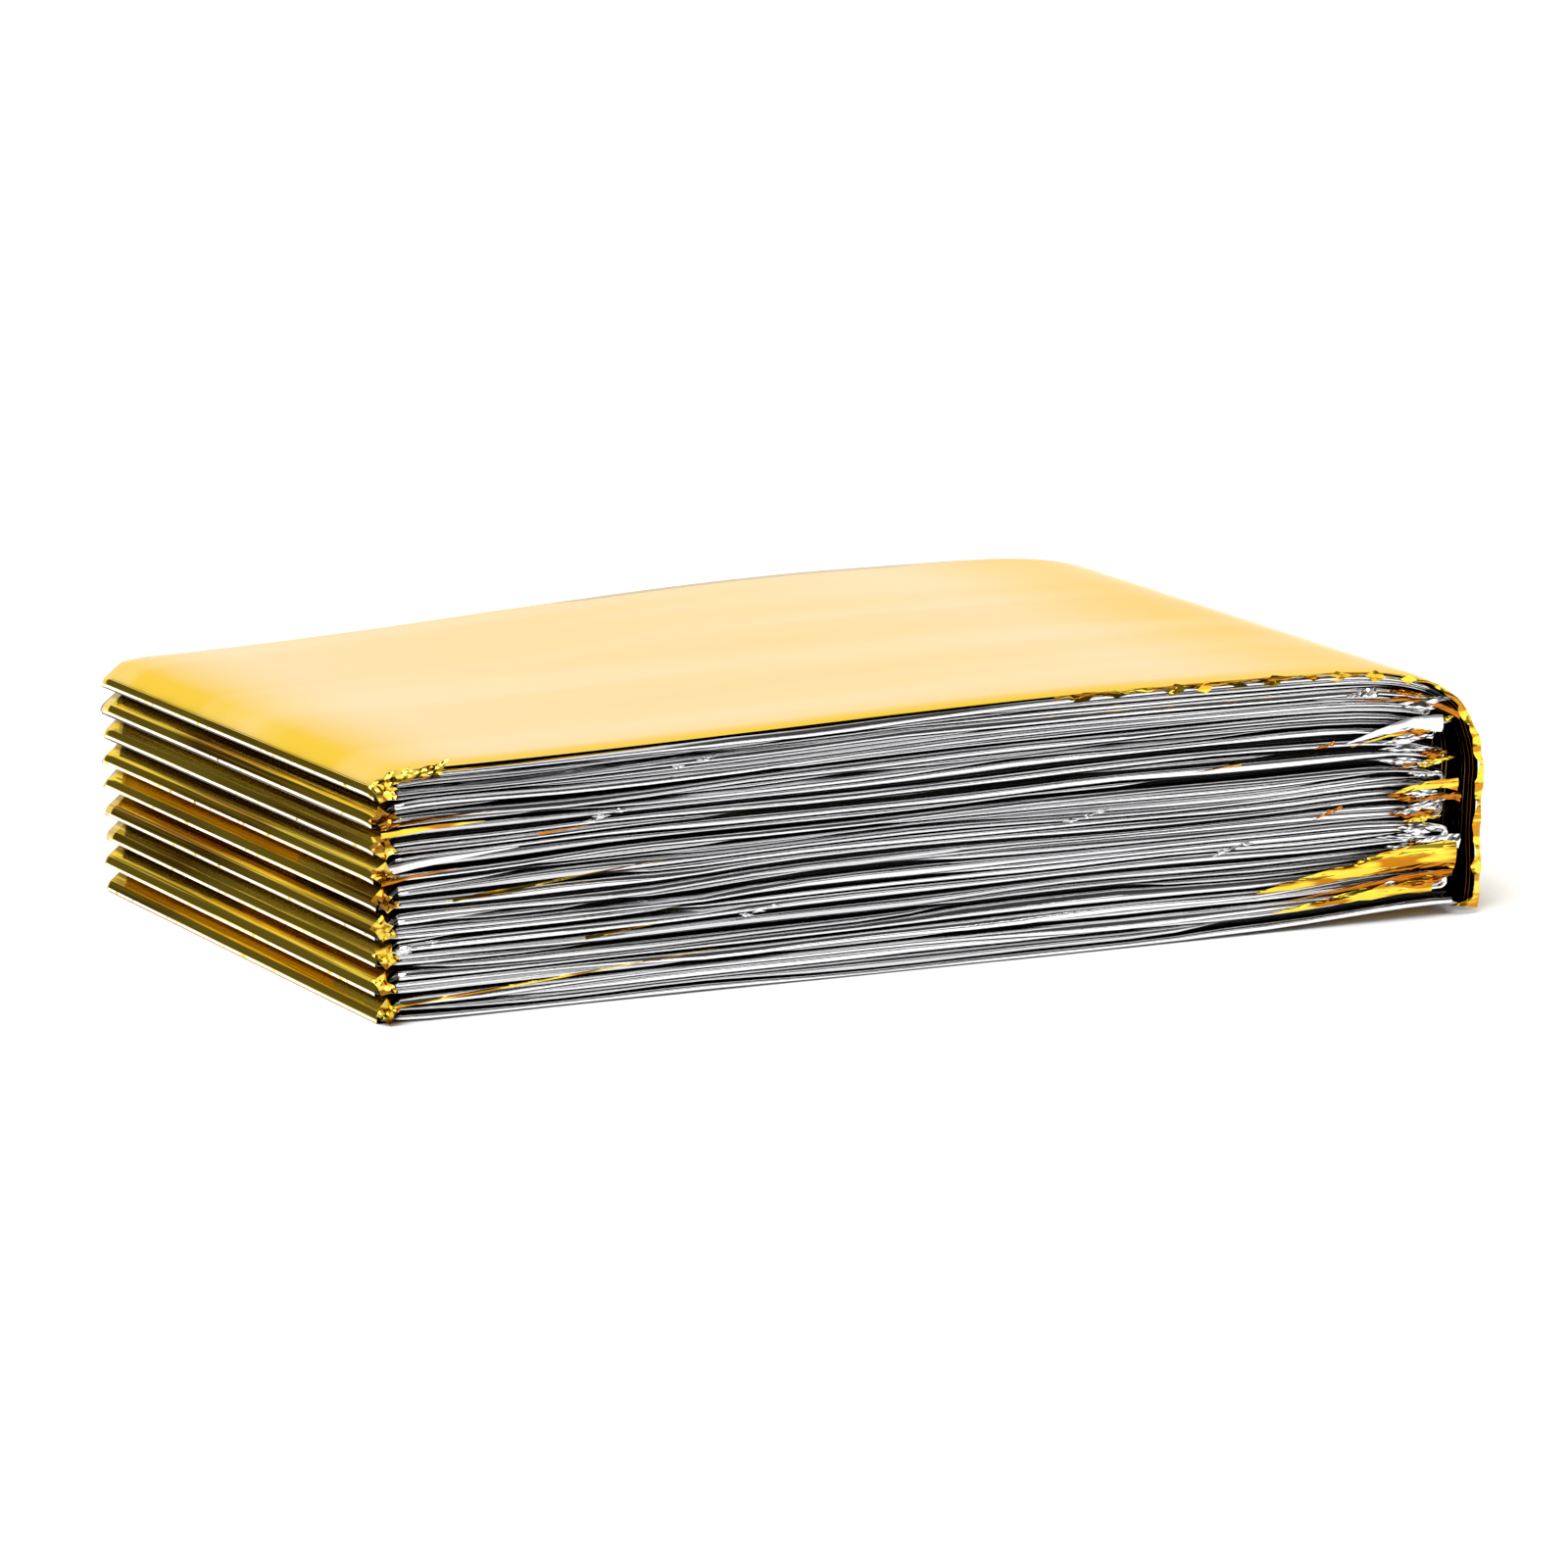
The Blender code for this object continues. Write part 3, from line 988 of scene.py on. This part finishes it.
class FilmPatterns:
    """The patterns on the film, in one material's tree."""

    def __init__(self, sketch: NodeSketch, end_x: Range) -> None:
        """Add the patterns.

        Args:
            sketch: The material's tree.
            end_x: Between which places in x the streaks of the gold end set in, in millimetres.
        """
        self.sketch = sketch
        place = sketch.node("ShaderNodeTexCoord", {"output": "Object"})
        in_mm = sketch.vector("SCALE", place, Scale=1.0 / MM)
        unfolded = sketch.node("ShaderNodeAttribute", {"attribute_name": "unfolded", "output": "Vector"})
        self.x = sketch.axis("X", in_mm)
        self.at_end = sketch.ramp(self.x, *end_x)
        # Painted shade in the gaps and between the gold bends, and where the painted highlight along the
        # creases goes.
        self.tucked = self.held("tucked")
        self.crease_highlight = self.held("crease_highlight")
        self.broad = self.held("broad")
        self.mottled = self.held("mottled")
        self.along = self.noise(unfolded, (0.008, 0.75, 0.0), 1.0)
        self.upright = self.noise(unfolded, (2.2, 0.022, 0.0), 2.0)
        self.slow = self.noise(unfolded, (0.011, 0.085, 0.0), 1.0)
        self.bends = self.noise(unfolded, (0.05, 0.02, 0.0), 1.0)
        self.small = self.noise(in_mm, (0.7, 0.9, 1.2), 3.0)
        self.patches = self.noise(in_mm, (0.12, 0.6, 1.1), 1.0)
        self.crumpled = sketch.ramp(self.noise(in_mm, (0.05, 0.08, 0.16), 2.0), 0.60, 0.70)
        self.opened = sketch.ramp(self.broad, 0.0, 0.02)
        # A painted highlight along the gold bends' creases, broken up by noise: paler, less metallic and
        # rougher there.
        self.painted_crease_highlight = sketch.ramp(self.crease_highlight, 0.50, 0.90) * sketch.ramp(self.small, 0.30, 0.42)

    def held(self, name: str) -> Value:
        """A number that a piece holds at each of its points, or 0 where it holds none."""
        return self.sketch.value("ShaderNodeAttribute", {"attribute_name": name, "output": "Fac"})

    def noise(self, place: bpy.types.NodeSocket, scale: Triple, detail: float) -> Value:
        """Noise that is stretched by its own scale along each axis, per millimetre."""
        scaled = self.sketch.vector("MULTIPLY", place, scale)
        fixed = {"Scale": 1.0, "Roughness": 0.5}
        return self.sketch.value("ShaderNodeTexNoise", {}, Vector=scaled, Detail=detail, **fixed)


@dataclass(frozen=True)
class FoilFinish:
    """One look of the metallised film: bright metal under a clear plastic face."""

    name: str
    colour: Colour
    deep_colour: Colour
    # The colour of painted shade in the gaps between folds and between the gold bends.
    gap_shade_colour: Colour
    edge_tint: Colour = (1.0, 0.86, 0.55)
    # The colour of painted shade at the outer ends of the gold bends.
    end_shade_colour: Colour = (0.28, 0.11, 0.01)
    # The colour of painted shade in orange-brown blotches on mottled pieces.
    blotch_shade_colour: Colour = (0.50, 0.19, 0.01)
    open_colour: Colour = (0.93, 0.63, 0.05)
    # Painted sheen: paler streaks on the open faces, standing in for soft reflections.
    painted_sheen_colour: Colour = (0.97, 0.71, 0.22)
    # Painted highlight: the whitened line along the creases under the gold bends.
    crease_highlight_colour: Colour = (0.98, 0.92, 0.80)
    crease_highlight_metal: float = 0.15
    crease_highlight_roughness: float = 0.3
    fold_roughness: float = 0.045
    face_roughness: float = 0.18
    coat_roughness: float = 0.12
    coat_weight: float = 0.8
    coat_end_x: Range = (26.0, 50.0)
    crease_reach: float = 0.12
    crease_height: float = 0.05
    end_streak_height: float = 0.040
    billow_height: float = 0.12
    crumple_height: float = 0.05
    patch_height: float = 0.30
    left_end_x: Range = (-59.4, -60.2)

    def material(self) -> bpy.types.Material:
        """Build the finish: fine streaks along the folds, crumpled places, painted shade in the gaps and a
        painted highlight along the creases.
        """
        material = bpy.data.materials.new(self.name)
        material.use_nodes = True
        material.node_tree.nodes.clear()
        sketch = NodeSketch(material.node_tree)
        on = FilmPatterns(sketch, self.left_end_x)
        rough = self.fold_roughness + on.broad * (self.face_roughness - self.fold_roughness)
        height = self.relief(sketch, on)
        surface = sketch.node(
            "ShaderNodeBsdfPrincipled",
            {},
            Base_Color=self.tint(sketch, on),
            Metallic=1.0 - on.painted_crease_highlight * (1.0 - self.crease_highlight_metal),
            Roughness=rough + on.painted_crease_highlight * self.crease_highlight_roughness,
            Specular_Tint=(*self.edge_tint, 1.0),
            Coat_Weight=on.broad * sketch.ramp(on.x, *self.coat_end_x, self.coat_weight, 0.0),
            Coat_Roughness=self.coat_roughness,
            Normal=sketch.node("ShaderNodeBump", {}, Strength=1.0, Distance=MM, Height=height),
        )
        sketch.node("ShaderNodeOutputMaterial", {}, surface)
        return material

    def relief(self, sketch: NodeSketch, on: FilmPatterns) -> Value:
        """The height of the film's creases, crumples and billows, in millimetres."""
        creased = sketch.ramp(abs(on.along - 0.5), 0.0, self.crease_reach)
        height = creased * self.crease_height + on.small * on.crumpled * self.crumple_height
        height = height + on.mottled * on.patches * self.patch_height
        height = height + (on.upright * self.end_streak_height - height) * on.at_end
        return height + (on.slow * self.billow_height - height) * on.opened

    def tint(self, sketch: NodeSketch, on: FilmPatterns) -> bpy.types.NodeSocket:
        """The film's colour: streaked on the folds, with painted shade at the gold end, in blotches and in the
        gaps, a painted sheen where it lies open and a painted highlight along the creases.
        """
        fine = on.along + (on.upright - on.along) * on.at_end
        # Painted shade at the gold end: brown streaks where the bends' ends lie in shade.
        end_shade = on.at_end * sketch.ramp(on.bends, 0.45, 0.58) * sketch.ramp(on.upright, 0.35, 0.60)
        # Painted shade in orange-brown blotches where a piece is mottled.
        blotch_shade = on.mottled * sketch.ramp(on.patches, 0.45, 0.54)
        streaked = sketch.mix(sketch.ramp(fine, 0.35, 0.65), self.deep_colour, self.colour)
        folded = sketch.mix(blotch_shade, sketch.mix(end_shade, streaked, self.end_shade_colour), self.blotch_shade_colour)
        # Painted sheen: paler streaks on the open faces.
        open_face = sketch.mix(sketch.ramp(on.slow, 0.44, 0.68), self.open_colour, self.painted_sheen_colour)
        faced = sketch.mix(on.opened, folded, open_face)
        # Painted shade in the gaps and between the gold bends.
        gap_shade = sketch.mix(sketch.ramp(on.tucked, 0.15, 0.75), faced, self.gap_shade_colour)
        return sketch.mix(on.painted_crease_highlight, gap_shade, self.crease_highlight_colour)


FINISHES = {
    Film.GOLD: FoilFinish("gold_film", (0.95, 0.72, 0.08), (0.90, 0.62, 0.05), (0.11, 0.04, 0.005)),
    Film.SILVER: FoilFinish(
        "silver_film",
        (0.98, 0.98, 0.985),
        (0.62, 0.62, 0.63),
        (0.07, 0.07, 0.073),
        edge_tint=(1.0, 1.0, 1.0),
    ),
    # Painted shade and reflection: gold darkened to orange-brown, as gold looks where it is shaded by and
    # reflects other gold in the folds.
    Film.SHADED_GOLD: FoilFinish("shaded_gold_film", (0.62, 0.22, 0.02), (0.35, 0.10, 0.01), (0.08, 0.03, 0.01)),
}
CRIMPED = FoilFinish(
    "crimped_gold_film",
    (0.90, 0.68, 0.10),
    (0.90, 0.68, 0.10),
    (0.10, 0.05, 0.01),
    # Dark brown painted shade in the crimps' blotches.
    blotch_shade_colour=(0.22, 0.08, 0.005),
)


class Crimp(NamedTuple):
    """Where one crumple of film goes: its middle in millimetres, its turn in degrees and its size."""

    place: Triple
    turn: list[float]
    size: list[float]


@dataclass
class Crimps:
    """A set of small crumples of film, made by Geometry Nodes from a diamond of facets at each place."""

    name: str
    crimps: list[Crimp]
    ridge: float = 0.5
    crinkle: float = 0.12
    folds: float = 3.0
    mottled: float = 0.0
    rows: int = 9
    jag: float = 0.25
    jag_scale: float = 900.0
    seed: int = 3

    def inputs(self, material: bpy.types.Material) -> list[tuple[str, str, Any]]:
        """The tree's named inputs after its places: each one's label, kind of socket and value here."""
        return [
            ("Ridge", "NodeSocketFloat", self.ridge),
            ("Crinkle", "NodeSocketFloat", self.crinkle),
            ("Folds", "NodeSocketFloat", self.folds),
            ("Jag", "NodeSocketFloat", self.jag * MM),
            ("Jag scale", "NodeSocketFloat", self.jag_scale),
            ("Seed", "NodeSocketFloat", float(self.seed)),
            ("Mottled", "NodeSocketFloat", self.mottled),
            ("Rows", "NodeSocketInt", self.rows),
            ("Film", "NodeSocketMaterial", material),
        ]

    def tree(self, inputs: list[tuple[str, str, Any]]) -> bpy.types.GeometryNodeTree:
        """The node tree: a ridged diamond on every point, realized and roughened."""
        tree = bpy.data.node_groups.new("crimps", "GeometryNodeTree")
        for label, kind, _ in [("Places", "NodeSocketGeometry", None), *inputs]:
            tree.interface.new_socket(label, in_out="INPUT", socket_type=kind)
        tree.interface.new_socket("Crimps", in_out="OUTPUT", socket_type="NodeSocketGeometry")
        sketch = NodeSketch(tree)
        given = tree.nodes.new("NodeGroupInput").outputs
        square = sketch.node("GeometryNodeMeshGrid", {}, 0.707, 0.707, given["Rows"], given["Rows"])
        diamond = sketch.node("GeometryNodeTransform", {}, square, Rotation=(0.0, 0.0, pi / 4))
        place = sketch.node("GeometryNodeInputPosition", {})
        lengthways, sideways = sketch.axis("X", place), sketch.axis("Y", place)
        off_ridge, off_middle = abs(sideways), abs(lengthways)
        around = sketch.math("ARCTAN2", sideways, lengthways)
        folded = abs(sketch.math("SINE", around * given["Folds"])) * (off_middle + off_ridge)
        rise = (0.25 - off_ridge) * given["Ridge"] + folded * given["Crinkle"]
        roof = sketch.node("ShaderNodeCombineXYZ", {}, 0.0, 0.0, rise)
        facets = sketch.node("GeometryNodeSetPosition", {}, diamond, Offset=roof)
        turn, size = (
            sketch.node("GeometryNodeInputNamedAttribute", {"data_type": "FLOAT_VECTOR"}, name)
            for name in ("turn", "size")
        )
        placed = sketch.node(
            "GeometryNodeInstanceOnPoints", {}, given["Places"], Instance=facets, Rotation=turn, Scale=size
        )
        real = sketch.node("GeometryNodeRealizeInstances", {}, placed)
        in_colour = {"noise_dimensions": "4D", "output": "Color"}
        fineness = given["Jag scale"]
        noise = sketch.node("ShaderNodeTexNoise", in_colour, W=given["Seed"], Scale=fineness, Detail=1.0)
        centred = sketch.vector("SUBTRACT", noise, (0.5, 0.5, 0.5))
        jagged = sketch.vector("SCALE", centred, Scale=given["Jag"])
        rough = sketch.node("GeometryNodeSetPosition", {}, real, Offset=jagged)
        at_points = {"data_type": "FLOAT", "domain": "POINT"}
        shaded = sketch.node(
            "GeometryNodeStoreNamedAttribute", at_points, rough, Name="mottled", Value=given["Mottled"]
        )
        filmed = sketch.node("GeometryNodeSetMaterial", {}, shaded, Material=given["Film"])
        sketch.node("NodeGroupOutput", {}, filmed)
        return tree

    def build(self, material: bpy.types.Material) -> bpy.types.Object:
        """Run the tree on the places, and keep its result as a plain mesh."""
        seeds = bpy.data.meshes.new("places")
        seeds.from_pydata([Vector(crimp.place) * MM for crimp in self.crimps], [], [])
        turns = np.radians([crimp.turn for crimp in self.crimps])
        sizes = np.array([crimp.size for crimp in self.crimps]) * MM
        for key, values in (("turn", turns), ("size", sizes)):
            seeds.attributes.new(key, "FLOAT_VECTOR", "POINT").data.foreach_set("vector", values.ravel())
        source = linked("places", seeds)
        inputs = self.inputs(material)
        modifier = source.modifiers.new("crimps", "NODES")
        modifier.node_group = self.tree(inputs)
        sockets = modifier.node_group.interface.items_tree
        for label, _, value in inputs:
            modifier[sockets[label].identifier] = value
        evaluated = source.evaluated_get(bpy.context.evaluated_depsgraph_get())
        mesh = bpy.data.meshes.new_from_object(evaluated)
        mesh.name = self.name
        bpy.data.objects.remove(source, do_unlink=True)
        return linked(self.name, mesh)


@dataclass
class CrumpleSets:
    """Where the crumples go: at the corners of the gold bends, at the hooks' tips and along the front."""

    shape: PacketShape
    seed: int = 17
    rope_x: tuple[float, ...] = (1.2, 2.4, 3.6, 5.0, 6.6)
    rim_x: tuple[float, ...] = (77.5, 81.0, 88.0, 91.5, 95.0, 99.5, 104.0, 107.0, 111.5, 115.5)
    rim_level: float = 0.985
    tip_levels: Range = (0.06, 0.94)
    tip_end_x: float = 121.4
    sparkle_places: tuple[Range, ...] = (
        (2.2, 0.29),
        (22.5, 0.73),
        (32.5, 0.90),
        (39.5, 0.29),
        (76.0, 0.52),
        (93.0, 0.34),
    )

    def front(self, x: float, level: float, out: float) -> Triple:
        """A place on the front face, by its distance from the gold end and its share of the height there."""
        shape = self.shape
        spot = np.array(x)
        low = float(shape.underside(spot))
        top = float(shape.top(spot, np.array(0.0)))
        return (x - shape.length / 2, -shape.depth / 2 + 0.2 - out, low + (top - low) * level)

    def bend_corners(self) -> Crimps:
        """Crossed crumples at the front end of every gold bend, and a crushed corner on the top panel."""
        draw = np.random.default_rng(self.seed)
        crimps = []
        for bend in range(self.shape.panels // 2):
            for rise, tilt in ((0.28, 30.0), (-0.24, -26.0)):
                level = (2 * bend + 1 + rise) / self.shape.panels
                x = 0.9 + self.shape.nose_in[bend] + draw.uniform(-0.25, 0.35)
                place = self.front(x, level, draw.uniform(-0.2, 0.35))
                turn = drawn(draw, (72.0 + tilt, 108.0 + tilt), (-30.0, 30.0), (-60.0, -16.0))
                crimps.append(Crimp(place, turn, [*drawn(draw, (2.4, 3.4), (1.5, 2.2)), 1.6]))
        for x in self.rope_x:
            place = self.front(x, self.rim_level, draw.uniform(0.0, 0.3))
            turn = drawn(draw, (38.0, 78.0), (-38.0, -18.0), (-20.0, 4.0))
            crimps.append(Crimp(place, turn, [*drawn(draw, (2.6, 3.4), (1.1, 1.5)), 1.2]))
        looks = {"ridge": 0.9, "crinkle": 0.6, "folds": 2.0, "mottled": 0.9, "rows": 6, "jag": 0.10}
        return Crimps("bend_corners", crimps, **looks, seed=5)

    def tips(self, name: str, count: int, seed: int, size: float) -> Crimps:
        """Crumpled tips at the right-hand ends of the front pleats."""
        draw = np.random.default_rng(seed)
        low, high = self.tip_levels
        crimps = []
        for index in range(count):
            level = low + (high - low) * (index + draw.uniform(0.1, 0.9)) / count
            length, tall = (size * share for share in drawn(draw, (4.0, 8.0), (0.8, 1.5)))
            end = self.tip_end_x - 3.5 * draw.uniform() ** 1.6 - 1.3 * max(0.0, level - 0.85) / 0.15
            place = self.front(end - length / 2, level, draw.uniform(-0.1, 0.35))
            droop = 8.0 * level - 4.0
            turn = drawn(draw, (42.0, 106.0), (droop - 7.0, droop + 7.0), (-12.0, 12.0))
            crimps.append(Crimp(place, turn, [length, tall, 1.3]))
        return Crimps(name, crimps, ridge=0.6, crinkle=0.4, jag=0.30, seed=seed)

    def sparkles(self) -> Crimps:
        """Small crumpled places in the front pleats."""
        draw = np.random.default_rng(self.seed + 4)
        crimps = []
        for x, level in self.sparkle_places:
            for part in range(3):
                place = self.front(x + 1.6 * part + draw.uniform(-0.5, 0.5), level + 0.012 * part, 0.25)
                turn = drawn(draw, (50.0, 130.0), (-16.0, 8.0), (-20.0, 20.0))
                crimps.append(Crimp(place, turn, [*drawn(draw, (1.6, 3.0), (0.35, 0.6)), 0.6]))
        return Crimps("sparkles", crimps, crinkle=0.3, jag=0.4, seed=9)

    def rim_bits(self) -> Crimps:
        """Small folded corners of film under the top panel's front edge."""
        draw = np.random.default_rng(self.seed + 9)
        crimps = []
        for x in self.rim_x:
            place = self.front(x, self.rim_level, draw.uniform(0.0, 0.2))
            turn = drawn(draw, (45.0, 95.0), (-16.0, 22.0), (-20.0, 20.0))
            crimps.append(Crimp(place, turn, [*drawn(draw, (1.6, 3.6), (0.7, 1.3)), 0.9]))
        looks = {"ridge": 0.6, "crinkle": 0.5, "folds": 1.0, "mottled": 0.5, "rows": 4, "jag": 0.15}
        return Crimps("rim_bits", crimps, **looks, seed=11)


@dataclass
class Studio:
    """A plain pale floor, soft light and the camera."""

    floor_size: float = 6.0
    floor_colour: Colour = (0.90, 0.90, 0.90)
    floor_roughness: float = 0.7
    floor_specular: float = 0.2
    sun_power: float = 3.5
    sun_angle: float = 0.9
    sun_way: Triple = (0.50, 0.30, -0.80)
    strip_power: float = 1.05
    strip_place: Triple = (-0.15, -1.0, 0.62)
    strip_size: Range = (1.8, 0.05)
    least_glow: float = 0.055
    round_glow: float = 0.98
    overhead: tuple[float, ...] = (0.46, 0.70, 1.0, 0.72)
    front_way: Triple = (0.43, -0.72, 0.55)
    front_rim: Range = (0.62, 0.80)
    front_fall: tuple[float, ...] = (0.02, 0.65, 0.42, 0.0)
    front_foot: tuple[float, ...] = (0.06, 0.16, 1.2, 0.0)
    left_way: Triple = (-0.38, 0.88, 0.26)
    left_rim: Range = (0.951, 0.978)
    left_glow: float = 0.06
    camera_place: Triple = (-0.299, -0.605, 0.135)
    camera_aim: Triple = (0.0, 0.0, 0.0125)
    lens: float = 150.0
    sensor: float = 36.0

    def floor(self) -> None:
        """The floor."""
        half = self.floor_size / 2
        mesh = bpy.data.meshes.new("floor")
        corners = [(-half, -half, 0), (half, -half, 0), (half, half, 0), (-half, half, 0)]
        mesh.from_pydata(corners, [], [(0, 1, 2, 3)])
        material = bpy.data.materials.new("pale_floor")
        material.use_nodes = True
        shader = material.node_tree.nodes["Principled BSDF"]
        shader.inputs["Base Color"].default_value = (*self.floor_colour, 1.0)
        shader.inputs["Roughness"].default_value = self.floor_roughness
        shader.inputs["Specular IOR Level"].default_value = self.floor_specular
        mesh.materials.append(material)
        floor = linked("floor", mesh)

    def world(self) -> None:
        """A studio that is bright all round, but dim overhead and where the front and the gold bends look."""
        world = bpy.data.worlds.new("studio")
        world.use_nodes = True
        bpy.context.scene.world = world
        world.node_tree.nodes.clear()
        sketch = NodeSketch(world.node_tree)
        direction = sketch.node("ShaderNodeTexCoord", {"output": "Generated"})
        up = sketch.axis("Z", direction)
        all_round = sketch.ramp(up, *self.overhead)
        front = self.towards(sketch, direction, self.front_way, self.front_rim)
        left = self.towards(sketch, direction, self.left_way, self.left_rim)
        in_front = sketch.ramp(up, *self.front_fall) + sketch.ramp(up, *self.front_foot)
        elsewhere = (1.0 - front) * (1.0 - left)
        glow = self.least_glow + all_round * elsewhere * self.round_glow
        glow = glow + front * in_front + left * self.left_glow
        camera_ray = sketch.value("ShaderNodeLightPath", {"output": "Is Camera Ray"})
        strength = glow + camera_ray * (1.0 - glow)
        background = sketch.node("ShaderNodeBackground", {}, (1.0, 1.0, 1.0, 1.0), strength)
        sketch.node("ShaderNodeOutputWorld", {}, background)

    @staticmethod
    def towards(sketch: NodeSketch, direction: bpy.types.NodeSocket, way: Triple, rim: Range) -> Value:
        """A soft round patch of the studio in one direction, from 0 at its rim to 1 inside."""
        settings = {"operation": "DOT_PRODUCT", "output": "Value"}
        facing = sketch.node("ShaderNodeVectorMath", settings, direction, tuple(Vector(way).normalized()))
        return sketch.ramp(facing, *rim)

    @staticmethod
    def turned(way: Vector) -> Euler:
        """The turn with which a lamp or the camera faces one way."""
        return way.to_track_quat("-Z", "Y").to_euler()

    def lamps(self) -> None:
        """A broad light from above, to the left and in front, and a narrow strip in front."""
        sky = bpy.data.lights.new("sky", "SUN")
        sky.energy = self.sun_power
        sky.angle = self.sun_angle
        linked("sky", sky).rotation_euler = self.turned(Vector(self.sun_way))
        strip = bpy.data.lights.new("front_strip", "AREA")
        strip.shape = "RECTANGLE"
        strip.size, strip.size_y = self.strip_size
        strip.energy = self.strip_power
        lamp = linked("front_strip", strip)
        lamp.location = self.strip_place
        lamp.rotation_euler = self.turned(-Vector(self.strip_place))

    def camera(self) -> None:
        """The camera, at the photograph's viewing angle."""
        data = bpy.data.cameras.new("camera")
        data.lens = self.lens
        data.sensor_width = self.sensor
        camera = linked("camera", data)
        camera.location = self.camera_place
        camera.rotation_euler = self.turned(Vector(self.camera_aim) - Vector(self.camera_place))
        bpy.context.scene.camera = camera

    def build(self) -> None:
        """Set up everything."""
        bpy.context.scene.view_settings.view_transform = "Standard"
        self.floor()
        self.world()
        self.lamps()
        self.camera()


def main() -> None:
    """Build the packet and its studio."""
    logging.basicConfig(level=logging.INFO, format="%(message)s")
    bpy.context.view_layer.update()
    low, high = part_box(NODE)
    shape = PacketShape(length=(high.x - low.x) / MM, depth=(high.y - low.y) / MM)
    Studio().build()
    materials = {film: finish.material() for film, finish in FINISHES.items()}
    slots = [materials[film] for film in Film]
    sheet = FoldedSheet(shape).build(slots)
    crumples = CrumpleSets(shape)
    trimmings = [
        WrapRim(shape).build(slots),
        FilmFlares(shape).build(slots),
        crumples.bend_corners().build(CRIMPED.material()),
        crumples.sparkles().build(materials[Film.SILVER]),
        crumples.rim_bits().build(materials[Film.GOLD]),
        crumples.tips("silver_tips", 16, 41, 1.0).build(materials[Film.SILVER]),
        crumples.tips("gold_tips", 6, 43, 0.7).build(materials[Film.GOLD]),
        # Tips in the dark orange film: painted shade and reflection of gold in gold.
        crumples.tips("shaded_gold_tips", 9, 47, 0.8).build(materials[Film.SHADED_GOLD]),
    ]
    for piece in (sheet, *trimmings):
        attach(piece, BODY)
        LOG.info("%s: %d faces", piece.name, len(piece.data.polygons))
    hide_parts(NODE)


if __name__ == "__main__":
    main()
